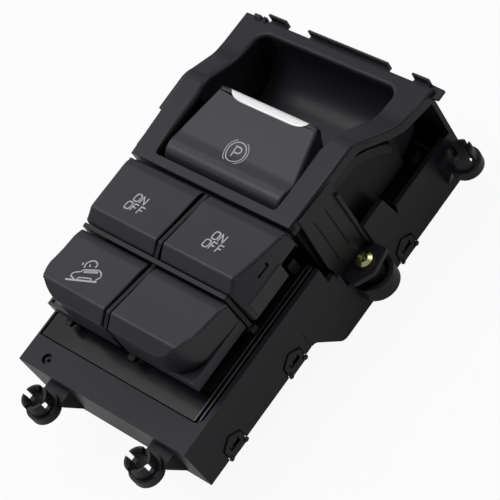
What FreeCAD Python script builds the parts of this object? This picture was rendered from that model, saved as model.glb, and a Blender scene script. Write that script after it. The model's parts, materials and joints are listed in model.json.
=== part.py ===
"""Console switch block with a parking brake lever, four button positions and a finger bowl.

Frame: millimetres, +X along a row of buttons, +Y towards the finger bowl, +Z up out of
the buttons. The origin is under the middle of the whole part, on the surface it rests on.
"""

import FreeCAD, Part
import math
import os

import Sketcher

SIZES = {
    # lower housing
    "body_width": 75.0,
    "rear_depth": 33.3,
    "front_depth": 20.5,
    "step_start": 54.7,
    "step_end": 63.0,
    "step_round_top": 3.4,
    "step_round_foot": 4.0,
    "side_wall": 1.8,
    "end_wall": 1.6,
    "strip_depth": 10.2,
    "strip_thickness": 1.8,
    "strip_corner": 3.0,
    "shoulder_drop": 7.6,
    "shoulder_length": 2.9,
    "saddle_start": 4.5,
    "saddle_length": 15.6,
    "block_length": 10.7,
    "block_drop": 5.3,
    "notch_drop": 16.5,
    "window_gap": 2.9,
    "window_drop": 12.8,
    "back_wall_rise": 4.4,
    "dimple_inset": 9.5,
    "dimple_y": 4.4,
    "dimple_radius": 1.9,
    "dimple_pin": 0.55,
    "dimple_depth": 1.2,
    # bottom cover
    "foot_proud": 0.8,
    "cover_thickness": 1.6,
    "cover_gap": 0.2,
    "latch_width": 8.0,
    "latch_height": 7.6,
    "latch_thickness": 1.3,
    "latch_recess": 1.0,
    "latch_chamfer": 2.6,
    "latch_peak": 0.5,
    "latch_knob": 0.9,
    "latch_slot_width": 4.6,
    "latch_slot_height": 2.4,
    "latch_slot_drop": 3.4,
    "latch_hook_gap": 0.45,
    "latch_hook_bar": 0.8,
    "latch_hook_leg": 1.3,
    "wall_seam": 53.2,
    "wall_seam_height": 8.6,
    "wall_seam_depth": 0.2,
    "latch_first": 14.0,
    "latch_second": 45.5,
    "latch_third_from_back": 36.2,
    # locating collets
    "collet_spacing": 47.2,
    "collet_reach": 8.0,
    "collet_radius": 4.4,
    "collet_bore": 2.9,
    "collet_slot": 1.6,
    "collet_top_drop": 0.7,
    "collet_height": 5.4,
    "collet_foot_radius": 5.5,
    "collet_foot_height": 3.4,
    "collet_slot_rise": 0.9,
    "collet_bracket_width": 9.6,
    "rear_collet_reach": 8.5,
    "rear_collet_from_back": 6.6,
    "rear_collet_drop": 11.0,
    # screw ears
    "ear_screw_reach": 1.0,
    "screw_in_saddle": 9.2,
    "ear_drop": 15.0,
    "ear_thickness": 2.0,
    "ear_nose": 5.6,
    "lug_radius": 7.2,
    "lug_drop": 21.5,
    "lug_height": 6.5,
    "lug_groove": 5.7,
    "lug_groove_depth": 4.0,
    "boss_radius": 4.2,
    "screw_radius": 1.5,
    "screw_pilot": 1.55,
    "screw_clearance": 1.8,
    "screw_length": 10.0,
    "screw_head_radius": 3.0,
    "screw_head_height": 1.9,
    # bezel with finger bowl
    "bezel_front_gap": 1.2,
    "bezel_front_inset": 2.8,
    "neck_from_back": 31.0,
    "bezel_neck_inset": 1.7,
    "flare_from_back": 15.0,
    "bezel_flare_reach": 1.7,
    "bezel_back_reach": 2.8,
    "bezel_front_rise": 20.45,
    "brow_from_back": 30.9,
    "bezel_brow_rise": 21.36,
    "bezel_brow_round": 9.0,
    "dip_from_back": 16.7,
    "bezel_dip_rise": 12.57,
    "bezel_dip_round": 18.0,
    "bezel_back_rise": 10.9,
    "bezel_skin": 2.0,
    "skirt_wall": 1.3,
    "skirt_height": 4.2,
    "opening_front_strip": 3.3,
    "opening_taper": 3.0,
    "opening_neck_from_back": 36.0,
    "opening_flare_from_back": 17.0,
    "opening_back_strip": 4.8,
    "opening_corner": 4.0,
    "bowl_front_from_back": 36.5,
    "bowl_floor_drop": 7.5,
    "bowl_round": 13.0,
    "bowl_wall": 1.6,
    "curtain_gap": 0.2,
    "curtain_wall": 1.3,
    "curtain_past_saddle": 0.2,
    "curtain_front_inset": 3.4,
    "curtain_groove": 0.6,
    "curtain_groove_depth": 0.4,
    "curtain_groove_front": 78.5,
    "curtain_groove_back": 83.9,
    "curtain_lip": 1.2,
    "curtain_lip_proud": 0.9,
    "tab_height": 1.8,
    "tab_reach": 2.0,
    "tab_thickness": 0.9,
    "tab_foot": 1.0,
    "corner_flange_reach": 2.4,
    "side_flange_start": 45.7,
    "side_flange_end": 24.9,
    "side_flange_drop": 1.6,
    "side_flange_reach": 1.9,
    "side_flange_thickness": 0.9,
    # inner case
    "case_gap": 1.6,
    "bowl_gap": 0.5,
    "case_wall": 1.3,
    "case_pillar_rise": 18.2,
    "case_floor_gap": 1.0,
    "case_front_gap": 1.6,
    "case_from_back": 18.0,
    "case_top_front": 13.0,
    "case_top_mid": 11.4,
    "case_bend_from_back": 28.5,
    "case_top_back": 2.0,
    "case_floor_drop": 9.6,
    "case_floor": 1.4,
    # lever
    "pivot_from_opening": 5.2,
    "pivot_to_back": 55.0,
    "pivot_rise": 15.9,
    "pivot_radius": 1.25,
    "running_gap": 0.05,
    "nose_radius": 4.3,
    "lever_front_taper": 0.6,
    "lever_kink": 5.0,
    "lever_gap": 0.7,
    "lever_length": 25.2,
    "lever_back_taper": 4.9,
    "lever_valley_rise": 19.3,
    "lever_back_rise": 20.8,
    "lever_skin": 1.6,
    "lever_skirt_rise": 9.0,
    "garnish_inset": 3.8,
    "garnish_bulge": 3.6,
    "garnish_thickness": 0.9,
    "lever_crest_inset": 0.6,
    "arm_width": 10.0,
    "arm_thickness": 3.0,
    # buttons
    "rib_thickness": 1.4,
    "cross_wall_rise": 21.2,
    "cap_gap": 0.75,
    "row_gap": 2.5,
    "back_button_length": 25.6,
    "front_row_front": 17.9,
    "front_button_length": 24.3,
    "cap_crest_rise": 23.9,
    "cap_lip_run": 4.2,
    "cap_lip_rise": 20.4,
    "cap_back_rise": 20.6,
    "cap_roll_run": 3.0,
    "cap_roll_drop": 1.0,
    "cap_back_inset": 3.5,
    "cap_front_inset": 6.9,
    "cap_foot_inset": 2.7,
    "cap_foot_rise": 7.0,
    "cap_waist_inset": 3.1,
    "cap_waist_rise": 14.0,
    "cap_skin": 1.7,
    "front_corner_round": 11.0,
    "front_corner_draw": 1.2,
    "ledge_inset": 4.9,
    "ledge_rim": 0.9,
    "ledge_rise": 10.6,
    "ledge_floor_rise": 9.9,
    "ledge_foot_rise": 6.2,
    "cap_panel_start": 2.0,
    "cap_panel_proud": 0.45,
    "cap_slot_start": 9.75,
    "cap_slot_length": 5.3,
    "cap_slot_rise": 16.8,
    "cap_slot_bar": 0.8,
    "cap_slot_hook": 1.8,
    "cap_notch_length": 7.8,
    "cap_notch_rise": 13.0,
    "button_travel": 1.5,
    "stem_width": 9.2,
    "stem_slide_gap": 0.1,
    "stem_flange": 13.0,
    "chimney_wall": 1.4,
    "chimney_rise": 8.5,
    # deck and board
    "deck_drop": 0.5,
    "deck_thickness": 1.0,
    "deck_rail_pitch": 1.7,
    "deck_side_gap": 0.6,
    "deck_left_ridge": 0.7,
    "deck_left_gap": 0.2,
    "deck_front_gap": 0.5,
    "deck_rail": 0.5,
    "guide_plate": 1.6,
    "guide_front": 21.0,
    "board_top_drop": 14.0,
    "board_thickness": 1.6,
    "board_from_back": 9.0,
    "dome_base": 1.0,
    "dome_height": 3.0,
    "dome_radius": 4.5,
    "dome_top_radius": 3.0,
    "seat_gap": 0.3,
    "socket_half_width": 13.0,
    "socket_half_length": 6.0,
    "socket_wall": 1.2,
    "socket_from_back": 28.0,
    "pin_pitch": 4.0,
    "pin_width": 0.64,
    "board_screw_radius": 1.3,
    "post_inset": 7.5,
    "post_from_wall": 6.4,
    "post_from_step": 8.7,
    "post_from_edge": 4.0,
    "case_post_inset": 8.6,
    "board_screw_head": 2.6,
    "board_screw_length": 3.6,
    "lever_switch_width": 8.0,
    "lever_switch_length": 4.3,
    "plunger_radius": 0.8,
    "plunger_reach": 0.6,
    "arm_front_swing": 4.8,
    "arm_rear_swing": 5.8,
    "chip_side": 10.0,
    "chip_height": 1.4,
}

doc = FreeCAD.newDocument("parking_brake_switch")
sheet = doc.addObject("Spreadsheet::Sheet", "Sizes")


class Size:
    """A length that knows both its present value and the expression that drives it."""

    def __init__(self, number, text):
        self.number = float(number)
        self.text = text

    def __add__(self, other):
        other = as_size(other)
        return Size(self.number + other.number, f"({self.text} + {other.text})")

    def __sub__(self, other):
        other = as_size(other)
        return Size(self.number - other.number, f"({self.text} - {other.text})")

    def __mul__(self, other):
        other = as_size(other)
        return Size(self.number * other.number, f"({self.text} * {other.text})")

    def __truediv__(self, other):
        other = as_size(other)
        return Size(self.number / other.number, f"({self.text} / {other.text})")

    def __neg__(self):
        return Size(-self.number, f"(0 - {self.text})")

    def __radd__(self, other):
        return as_size(other) + self

    def __rsub__(self, other):
        return as_size(other) - self

    def __rmul__(self, other):
        return as_size(other) * self


def as_size(value):
    """Turn a plain number into a Size; a Size stays as it is."""
    if isinstance(value, Size):
        return value
    return Size(value, repr(float(value)))


class Table:
    """The driving sizes, one attribute for each alias of the sheet."""


def fill_sheet():
    """Write every driving size into the sheet and return them by name."""
    table = Table()
    for row, (alias, number) in enumerate(SIZES.items(), start=1):
        sheet.set(f"A{row}", str(number))
        sheet.setAlias(f"A{row}", alias)
        setattr(table, alias, Size(number, f"Sizes.{alias}"))
    doc.recompute()
    return table


S = fill_sheet()

# Rows and pivot along the block, measured from the front wall
FRONT_ROW_BACK = S.front_row_front + S.front_button_length
BACK_ROW_FRONT = FRONT_ROW_BACK + S.row_gap
BACK_ROW_BACK = BACK_ROW_FRONT + S.back_button_length
BEZEL_FRONT = BACK_ROW_BACK + S.bezel_front_gap
OPENING_FRONT = BEZEL_FRONT + S.opening_front_strip
PIVOT_PLACE = OPENING_FRONT + S.pivot_from_opening
BODY_LENGTH = PIVOT_PLACE + S.pivot_to_back

# Places worked out from the driving sizes
COLLET_FRONT = S.collet_reach + S.collet_foot_radius
FRONT = COLLET_FRONT - (COLLET_FRONT + BODY_LENGTH + S.tab_reach) / 2
BACK = FRONT + BODY_LENGTH
HALF = S.body_width / 2
RIM = S.foot_proud + S.rear_depth
WALL_FOOT = S.foot_proud
FRONT_FOOT = RIM - S.front_depth
INNER_HALF = HALF - S.side_wall
BOARD_TOP = RIM - S.board_top_drop
DECK_TOP = RIM - S.deck_drop
EAR_TOP = RIM - S.ear_drop
FAR = 60.0

# Across the block, from the wall inwards
CURTAIN_X = INNER_HALF - S.curtain_gap
CASE_HALF = CURTAIN_X - S.curtain_wall - S.case_gap
OPENING_BACK_HALF = CASE_HALF - S.case_wall - S.bowl_gap - S.bowl_wall
OPENING_HALF = OPENING_BACK_HALF - S.opening_taper
LEVER_KINK_HALF = OPENING_HALF - S.lever_gap
LEVER_FRONT_HALF = LEVER_KINK_HALF - S.lever_front_taper
LEVER_BACK_HALF = LEVER_KINK_HALF - S.lever_back_taper
GARNISH_HALF = LEVER_BACK_HALF - S.garnish_inset
BEZEL_FRONT_HALF = HALF - S.bezel_front_inset
BEZEL_NECK_HALF = HALF - S.bezel_neck_inset
BEZEL_FLARE_HALF = HALF + S.bezel_flare_reach
BEZEL_BACK_HALF = HALF + S.bezel_back_reach
SCREW_X = HALF + S.ear_screw_reach
EAR_REACH = SCREW_X + S.ear_nose
RAIL_OUTER = INNER_HALF - S.deck_side_gap - S.deck_rail
RAIL_INNER = RAIL_OUTER - S.deck_rail_pitch
LEDGE_HALF = HALF - S.ledge_inset
CAP_BACK_HALF = HALF - S.cap_back_inset
CAP_FRONT_HALF = HALF - S.cap_front_inset
CAP_FOOT_HALF = HALF - S.cap_foot_inset
CAP_WAIST_HALF = HALF - S.cap_waist_inset
BUTTON_X = (S.rib_thickness / 2 + S.cap_gap + LEDGE_HALF) / 2
DIMPLE_X = HALF - S.dimple_inset

# Along the block, measured from the front wall
SHOULDER_END = BACK_ROW_BACK + S.shoulder_length
SADDLE_FRONT = BACK_ROW_BACK + S.saddle_start
SADDLE_BACK = SADDLE_FRONT + S.saddle_length
BLOCK_BACK = SADDLE_BACK + S.block_length
WINDOW_FRONT = BLOCK_BACK + S.window_gap
SCREW_PLACE = SADDLE_FRONT + S.screw_in_saddle
CURTAIN_BACK = SADDLE_BACK + S.curtain_past_saddle
LEVER_KINK = PIVOT_PLACE + S.lever_kink
LEVER_BACK = PIVOT_PLACE + S.lever_length
BEZEL_NECK = BODY_LENGTH - S.neck_from_back
BEZEL_FLARE = BODY_LENGTH - S.flare_from_back
BEZEL_BROW = BODY_LENGTH - S.brow_from_back
BEZEL_DIP = BODY_LENGTH - S.dip_from_back
OPENING_NECK = BODY_LENGTH - S.opening_neck_from_back
OPENING_FLARE = BODY_LENGTH - S.opening_flare_from_back
OPENING_BACK = BODY_LENGTH - S.opening_back_strip
BOWL_FRONT = BODY_LENGTH - S.bowl_front_from_back
CASE_BACK = BODY_LENGTH - S.case_from_back
CASE_BEND = BODY_LENGTH - S.case_bend_from_back
BOARD_BACK = BODY_LENGTH - S.board_from_back
SOCKET_PLACE = BODY_LENGTH - S.socket_from_back
LATCH_THIRD = BODY_LENGTH - S.latch_third_from_back

# Names of the origin planes and the way a sketch on each one faces
PLANES = {"XY": "XY_Plane", "YZ": "YZ_Plane", "XZ": "XZ_Plane"}


def bind(item, prop, value):
    """Tie one property to a size."""
    item.setExpression(prop, as_size(value).text)


def vector_between(start, end):
    """Unit vector and distance from one 2-D point to another."""
    across = end[0] - start[0]
    up = end[1] - start[1]
    distance = math.hypot(across, up)
    return across / distance, up / distance, distance


def corner_arc(before, corner, after, radius):
    """Tangent points, centre and turn of the arc that rounds one corner."""
    ax, ay, _ = vector_between(corner, before)
    bx, by, _ = vector_between(corner, after)
    half = math.acos(max(-1.0, min(1.0, ax * bx + ay * by))) / 2
    reach = radius / math.tan(half)
    middle_x, middle_y = ax + bx, ay + by
    length = math.hypot(middle_x, middle_y)
    to_centre = radius / math.sin(half)
    centre = (corner[0] + middle_x / length * to_centre, corner[1] + middle_y / length * to_centre)
    first = (corner[0] + ax * reach, corner[1] + ay * reach)
    last = (corner[0] + bx * reach, corner[1] + by * reach)
    turns_left = ax * by - ay * bx < 0
    return first, last, centre, turns_left


def add_dimension(sketch, kind, geometry, position, value):
    """Dimension one point from the sketch's origin and tie it to a size."""
    size = as_size(value)
    if size.number == 0.0 and not isinstance(value, Size):
        axis = -2 if kind == "DistanceX" else -1
        sketch.addConstraint(Sketcher.Constraint("PointOnObject", geometry, position, axis))
        return
    index = sketch.addConstraint(Sketcher.Constraint(kind, -1, 1, geometry, position, size.number))
    sketch.setExpression(f"Constraints[{index}]", size.text)


def draw_outline(sketch, corners):
    """Closed outline through the corners; a third value rounds its corner."""
    spots = [(as_size(c[0]).number, as_size(c[1]).number) for c in corners]
    radii = [c[2] if len(c) > 2 else None for c in corners]
    count = len(corners)
    leave = []
    reach = []
    arcs = []
    for i in range(count):
        if radii[i] is None:
            reach.append(spots[i])
            leave.append(spots[i])
            arcs.append(None)
            continue
        first, last, centre, left = corner_arc(
            spots[i - 1], spots[i], spots[(i + 1) % count], as_size(radii[i]).number)
        reach.append(first)
        leave.append(last)
        arcs.append((centre, left))
    lines = []
    for i in range(count):
        start = FreeCAD.Vector(*leave[i], 0)
        end = FreeCAD.Vector(*reach[(i + 1) % count], 0)
        lines.append(sketch.addGeometry(Part.LineSegment(start, end), False))
    for i in range(count):
        before, after = lines[i - 1], lines[i]
        if arcs[i] is None:
            sketch.addConstraint(Sketcher.Constraint("Coincident", before, 2, after, 1))
            add_dimension(sketch, "DistanceX", after, 1, corners[i][0])
            add_dimension(sketch, "DistanceY", after, 1, corners[i][1])
            continue
        (cx, cy), left = arcs[i]
        radius = as_size(radii[i])
        from_point, to_point = (reach[i], leave[i]) if left else (leave[i], reach[i])
        start_angle = math.atan2(from_point[1] - cy, from_point[0] - cx)
        end_angle = math.atan2(to_point[1] - cy, to_point[0] - cx)
        circle = Part.Circle(FreeCAD.Vector(cx, cy, 0), FreeCAD.Vector(0, 0, 1), radius.number)
        arc = sketch.addGeometry(Part.ArcOfCircle(circle, start_angle, end_angle), False)
        corner = sketch.addGeometry(Part.Point(FreeCAD.Vector(*spots[i], 0)), True)
        entry, leaving = (1, 2) if left else (2, 1)
        sketch.addConstraint(Sketcher.Constraint("Tangent", before, 2, arc, entry))
        sketch.addConstraint(Sketcher.Constraint("Tangent", arc, leaving, after, 1))
        sketch.addConstraint(Sketcher.Constraint("PointOnObject", corner, 1, before))
        sketch.addConstraint(Sketcher.Constraint("PointOnObject", corner, 1, after))
        add_dimension(sketch, "DistanceX", corner, 1, corners[i][0])
        add_dimension(sketch, "DistanceY", corner, 1, corners[i][1])
        index = sketch.addConstraint(Sketcher.Constraint("Radius", arc, radius.number))
        sketch.setExpression(f"Constraints[{index}]", radius.text)


def draw_circle(sketch, across, up, radius):
    """Full circle with its centre and radius tied to sizes."""
    size = as_size(radius)
    centre = FreeCAD.Vector(as_size(across).number, as_size(up).number, 0)
    circle = sketch.addGeometry(Part.Circle(centre, FreeCAD.Vector(0, 0, 1), size.number), False)
    add_dimension(sketch, "DistanceX", circle, 3, across)
    add_dimension(sketch, "DistanceY", circle, 3, up)
    index = sketch.addConstraint(Sketcher.Constraint("Radius", circle, size.number))
    sketch.setExpression(f"Constraints[{index}]", size.text)


def draw_shapes(sketch, shapes):
    """Draw outlines (lists of corners) and circles (three sizes) into one sketch."""
    for shape in shapes:
        if isinstance(shape, tuple):
            draw_circle(sketch, *shape)
        else:
            draw_outline(sketch, shape)


def rectangle(left, right, low, high, corner=None):
    """Corners of a rectangle, rounded when a corner radius is given."""
    spots = [(left, low), (right, low), (right, high), (left, high)]
    if corner is None:
        return spots
    return [(across, up, corner) for across, up in spots]


def sides(side, inner, outer):
    """Left and right edges of a strip on one side of the middle plane."""
    if side > 0:
        return [inner, outer]
    return [-outer, -inner]


def box_about(across, up, half_across, half_up, corner=None):
    """Corners of a rectangle about a centre."""
    return rectangle(across - half_across, across + half_across, up - half_up, up + half_up, corner)


class Moulding:
    """One piece made by padding and pocketing sketches on its body's own planes."""

    def __init__(self, label):
        self.label = label
        self.body = doc.addObject("PartDesign::Body", label)
        self.body.Label = label
        self.steps = 0

    def plane(self, role):
        for feature in self.body.Origin.OriginFeatures:
            if feature.Role == PLANES[role]:
                return feature
        return None

    def sketch(self, plane, offset, shapes):
        self.steps += 1
        sketch = self.body.newObject("Sketcher::SketchObject", f"{self.label}_sketch_{self.steps}")
        sketch.AttachmentSupport = [(self.plane(plane), "")]
        sketch.MapMode = "FlatFace"
        bind(sketch, "AttachmentOffset.Base.z", offset)
        draw_shapes(sketch, shapes)
        sketch.Visibility = False
        return sketch

    def feature(self, kind, sketch, length):
        step = self.body.newObject(kind, f"{self.label}_step_{self.steps}")
        step.Profile = sketch
        bind(step, "Length", length)
        return step

    def pad(self, plane, low, high, *shapes):
        """Add material between two heights along the plane's global axis."""
        offset = -as_size(high) if plane == "XZ" else low
        sketch = self.sketch(plane, offset, shapes)
        return self.feature("PartDesign::Pad", sketch, as_size(high) - low)

    def pocket(self, plane, low, high, *shapes):
        """Take material away between two heights along the plane's global axis."""
        offset = -as_size(low) if plane == "XZ" else high
        sketch = self.sketch(plane, offset, shapes)
        return self.feature("PartDesign::Pocket", sketch, as_size(high) - low)


class Shapes:
    """Counts the loose shapes so that each one has its own name."""

    made = 0

    @classmethod
    def name(cls, stem):
        cls.made += 1
        return f"{stem}_{cls.made}"


def prism(stem, plane, low, high, *shapes):
    """Outline pushed along the plane's global axis between two heights."""
    sketch = doc.addObject("Sketcher::SketchObject", Shapes.name(stem + "_sketch"))
    turn = {
        "XY": FreeCAD.Rotation(0, 0, 0, 1),
        "XZ": FreeCAD.Rotation(FreeCAD.Vector(1, 0, 0), 90),
        "YZ": FreeCAD.Rotation(0.5, 0.5, 0.5, 0.5),
    }[plane]
    sketch.Placement = FreeCAD.Placement(FreeCAD.Vector(0, 0, 0), turn)
    axis = {"XY": "z", "XZ": "y", "YZ": "x"}[plane]
    bind(sketch, f"Placement.Base.{axis}", low)
    draw_shapes(sketch, shapes)
    sketch.Visibility = False
    solid = doc.addObject("Part::Extrusion", Shapes.name(stem))
    solid.Base = sketch
    solid.DirMode = "Custom"
    solid.Dir = {
        "XY": FreeCAD.Vector(0, 0, 1),
        "XZ": FreeCAD.Vector(0, 1, 0),
        "YZ": FreeCAD.Vector(1, 0, 0),
    }[plane]
    solid.Solid = True
    bind(solid, "LengthFwd", as_size(high) - low)
    return solid


def cylinder(stem, axis, across, up, low, high, radius):
    """Cylinder along a global axis; across and up are its centre in the other two, in order."""
    solid = doc.addObject("Part::Cylinder", Shapes.name(stem))
    place_round(solid, axis, across, up, low)
    bind(solid, "Radius", radius)
    bind(solid, "Height", as_size(high) - low)
    return solid


def cone(stem, axis, across, up, low, high, low_radius, high_radius):
    """Cone along a global axis, from its low radius to its high one."""
    solid = doc.addObject("Part::Cone", Shapes.name(stem))
    place_round(solid, axis, across, up, low)
    bind(solid, "Radius1", low_radius)
    bind(solid, "Radius2", high_radius)
    bind(solid, "Height", as_size(high) - low)
    return solid


def place_round(solid, axis, across, up, low):
    """Put a turned primitive on its axis."""
    spin = {
        "X": FreeCAD.Rotation(FreeCAD.Vector(0, 1, 0), 90),
        "Y": FreeCAD.Rotation(FreeCAD.Vector(1, 0, 0), -90),
        "Z": FreeCAD.Rotation(),
    }[axis]
    solid.Placement = FreeCAD.Placement(FreeCAD.Vector(0, 0, 0), spin)
    order = {"X": ("y", "z", "x"), "Y": ("x", "z", "y"), "Z": ("x", "y", "z")}[axis]
    for letter, value in zip(order, (across, up, low)):
        bind(solid, f"Placement.Base.{letter}", value)


def block(stem, left, right, near, far, low, high):
    """Plain box between three pairs of planes."""
    solid = doc.addObject("Part::Box", Shapes.name(stem))
    bind(solid, "Length", as_size(right) - left)
    bind(solid, "Width", as_size(far) - near)
    bind(solid, "Height", as_size(high) - low)
    bind(solid, "Placement.Base.x", left)
    bind(solid, "Placement.Base.y", near)
    bind(solid, "Placement.Base.z", low)
    return solid


def fuse(stem, *pieces):
    """One solid from several that meet."""
    if len(pieces) == 1:
        return pieces[0]
    joined = doc.addObject("Part::MultiFuse", Shapes.name(stem))
    joined.Shapes = list(pieces)
    joined.Refine = True
    return joined


def cut(stem, base, *tools):
    """Take the tools out of the base."""
    result = doc.addObject("Part::Cut", Shapes.name(stem))
    result.Base = base
    result.Tool = fuse(stem + "_tool", *tools)
    result.Refine = True
    return result


def common(stem, *pieces):
    """What the pieces share."""
    result = doc.addObject("Part::MultiCommon", Shapes.name(stem))
    result.Shapes = list(pieces)
    result.Refine = True
    return result


def mirrored(stem, piece):
    """The same piece on the other side of the middle plane."""
    twin = doc.addObject("Part::Mirroring", Shapes.name(stem))
    twin.Source = piece
    twin.Normal = FreeCAD.Vector(1, 0, 0)
    twin.Base = FreeCAD.Vector(0, 0, 0)
    return twin


NODES = {}


def node(label, item):
    """Declare a finished sub-part."""
    item.Label = label
    NODES[label] = item
    return item


def group(label, pieces):
    """Separate solids of one kind kept as one node."""
    held = doc.addObject("Part::Compound", Shapes.name(label))
    held.Links = list(pieces)
    return node(label, held)


# Latch places along both side walls, each with the height of the wall's foot there
LATCHES = [
    (FRONT + S.latch_first, FRONT_FOOT),
    (FRONT + S.latch_second, FRONT_FOOT),
    (FRONT + LATCH_THIRD, WALL_FOOT),
]
COLLET_TOP = RIM - S.collet_top_drop
REAR_COLLET_TOP = RIM - S.rear_collet_drop
FRONT_COLLET_X = S.collet_spacing / 2
FRONT_COLLET_Y = FRONT - S.collet_reach
REAR_COLLET_X = HALF + S.rear_collet_reach
REAR_COLLET_Y = BACK - S.rear_collet_from_back
SCREW_Y = FRONT + SCREW_PLACE
LUG_TOP = RIM - S.lug_drop
BOSS_TOP = EAR_TOP - S.ear_thickness - S.seat_gap
SOCKET_Y = FRONT + SOCKET_PLACE


POST_X = HALF - S.post_inset
POST_PLACES = (S.end_wall + S.post_from_wall, S.step_start - S.post_from_step, BOARD_BACK - S.post_from_edge)
BOARD_POSTS = [(x, FRONT + y) for y in POST_PLACES for x in (-POST_X, POST_X)]


def latch_window(centre, foot, grow):
    """Gabled outline of a latch loop seen from the side, grown by a gap."""
    half = S.latch_width / 2 + grow
    top = foot + S.latch_height + grow
    return [
        (centre - half, foot - S.foot_proud - grow),
        (centre + half, foot - S.foot_proud - grow),
        (centre + half, top - S.latch_chamfer),
        (centre + S.latch_peak, top),
        (centre - S.latch_peak, top),
        (centre - half, top - S.latch_chamfer),
    ]


def slot_outline(centre, foot):
    """Slot of a latch loop."""
    middle = foot + S.latch_slot_drop
    return box_about(centre, middle, S.latch_slot_width / 2, S.latch_slot_height / 2)


def hook_outline(centre, foot):
    """L-shaped hook that catches a latch loop, clear of the slot all round."""
    middle = foot + S.latch_slot_drop
    half = S.latch_slot_width / 2 - S.latch_hook_gap
    low = middle - S.latch_slot_height / 2 + S.latch_hook_gap
    high = middle + S.latch_slot_height / 2 - S.latch_hook_gap
    return [
        (centre - half, low),
        (centre - half + S.latch_hook_leg, low),
        (centre - half + S.latch_hook_leg, high - S.latch_hook_bar),
        (centre + half, high - S.latch_hook_bar),
        (centre + half, high),
        (centre - half, high),
    ]


def collet(stem, across, along, top):
    """Slotted tube on a wider foot, bored right through."""
    ring = top - S.collet_height
    low = ring - S.collet_foot_height
    foot = cylinder(stem, "Z", across, along, low, ring, S.collet_foot_radius)
    tube = cylinder(stem, "Z", across, along, ring - 0.5, top, S.collet_radius)
    bore = cylinder(stem, "Z", across, along, low - 1.0, top + 1.0, S.collet_bore)
    lead_in = cone(stem, "Z", across, along, top - 0.8, top, S.collet_bore, S.collet_bore + 0.8)
    half_slot = S.collet_slot / 2
    reach = S.collet_radius + 1.0
    slot_low = ring + S.collet_slot_rise
    one = block(stem, across - reach, across + reach, along - half_slot, along + half_slot, slot_low, top + 1.0)
    two = block(stem, across - half_slot, across + half_slot, along - reach, along + reach, slot_low, top + 1.0)
    return cut(stem, fuse(stem, foot, tube), bore, lead_in, one, two)


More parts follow.
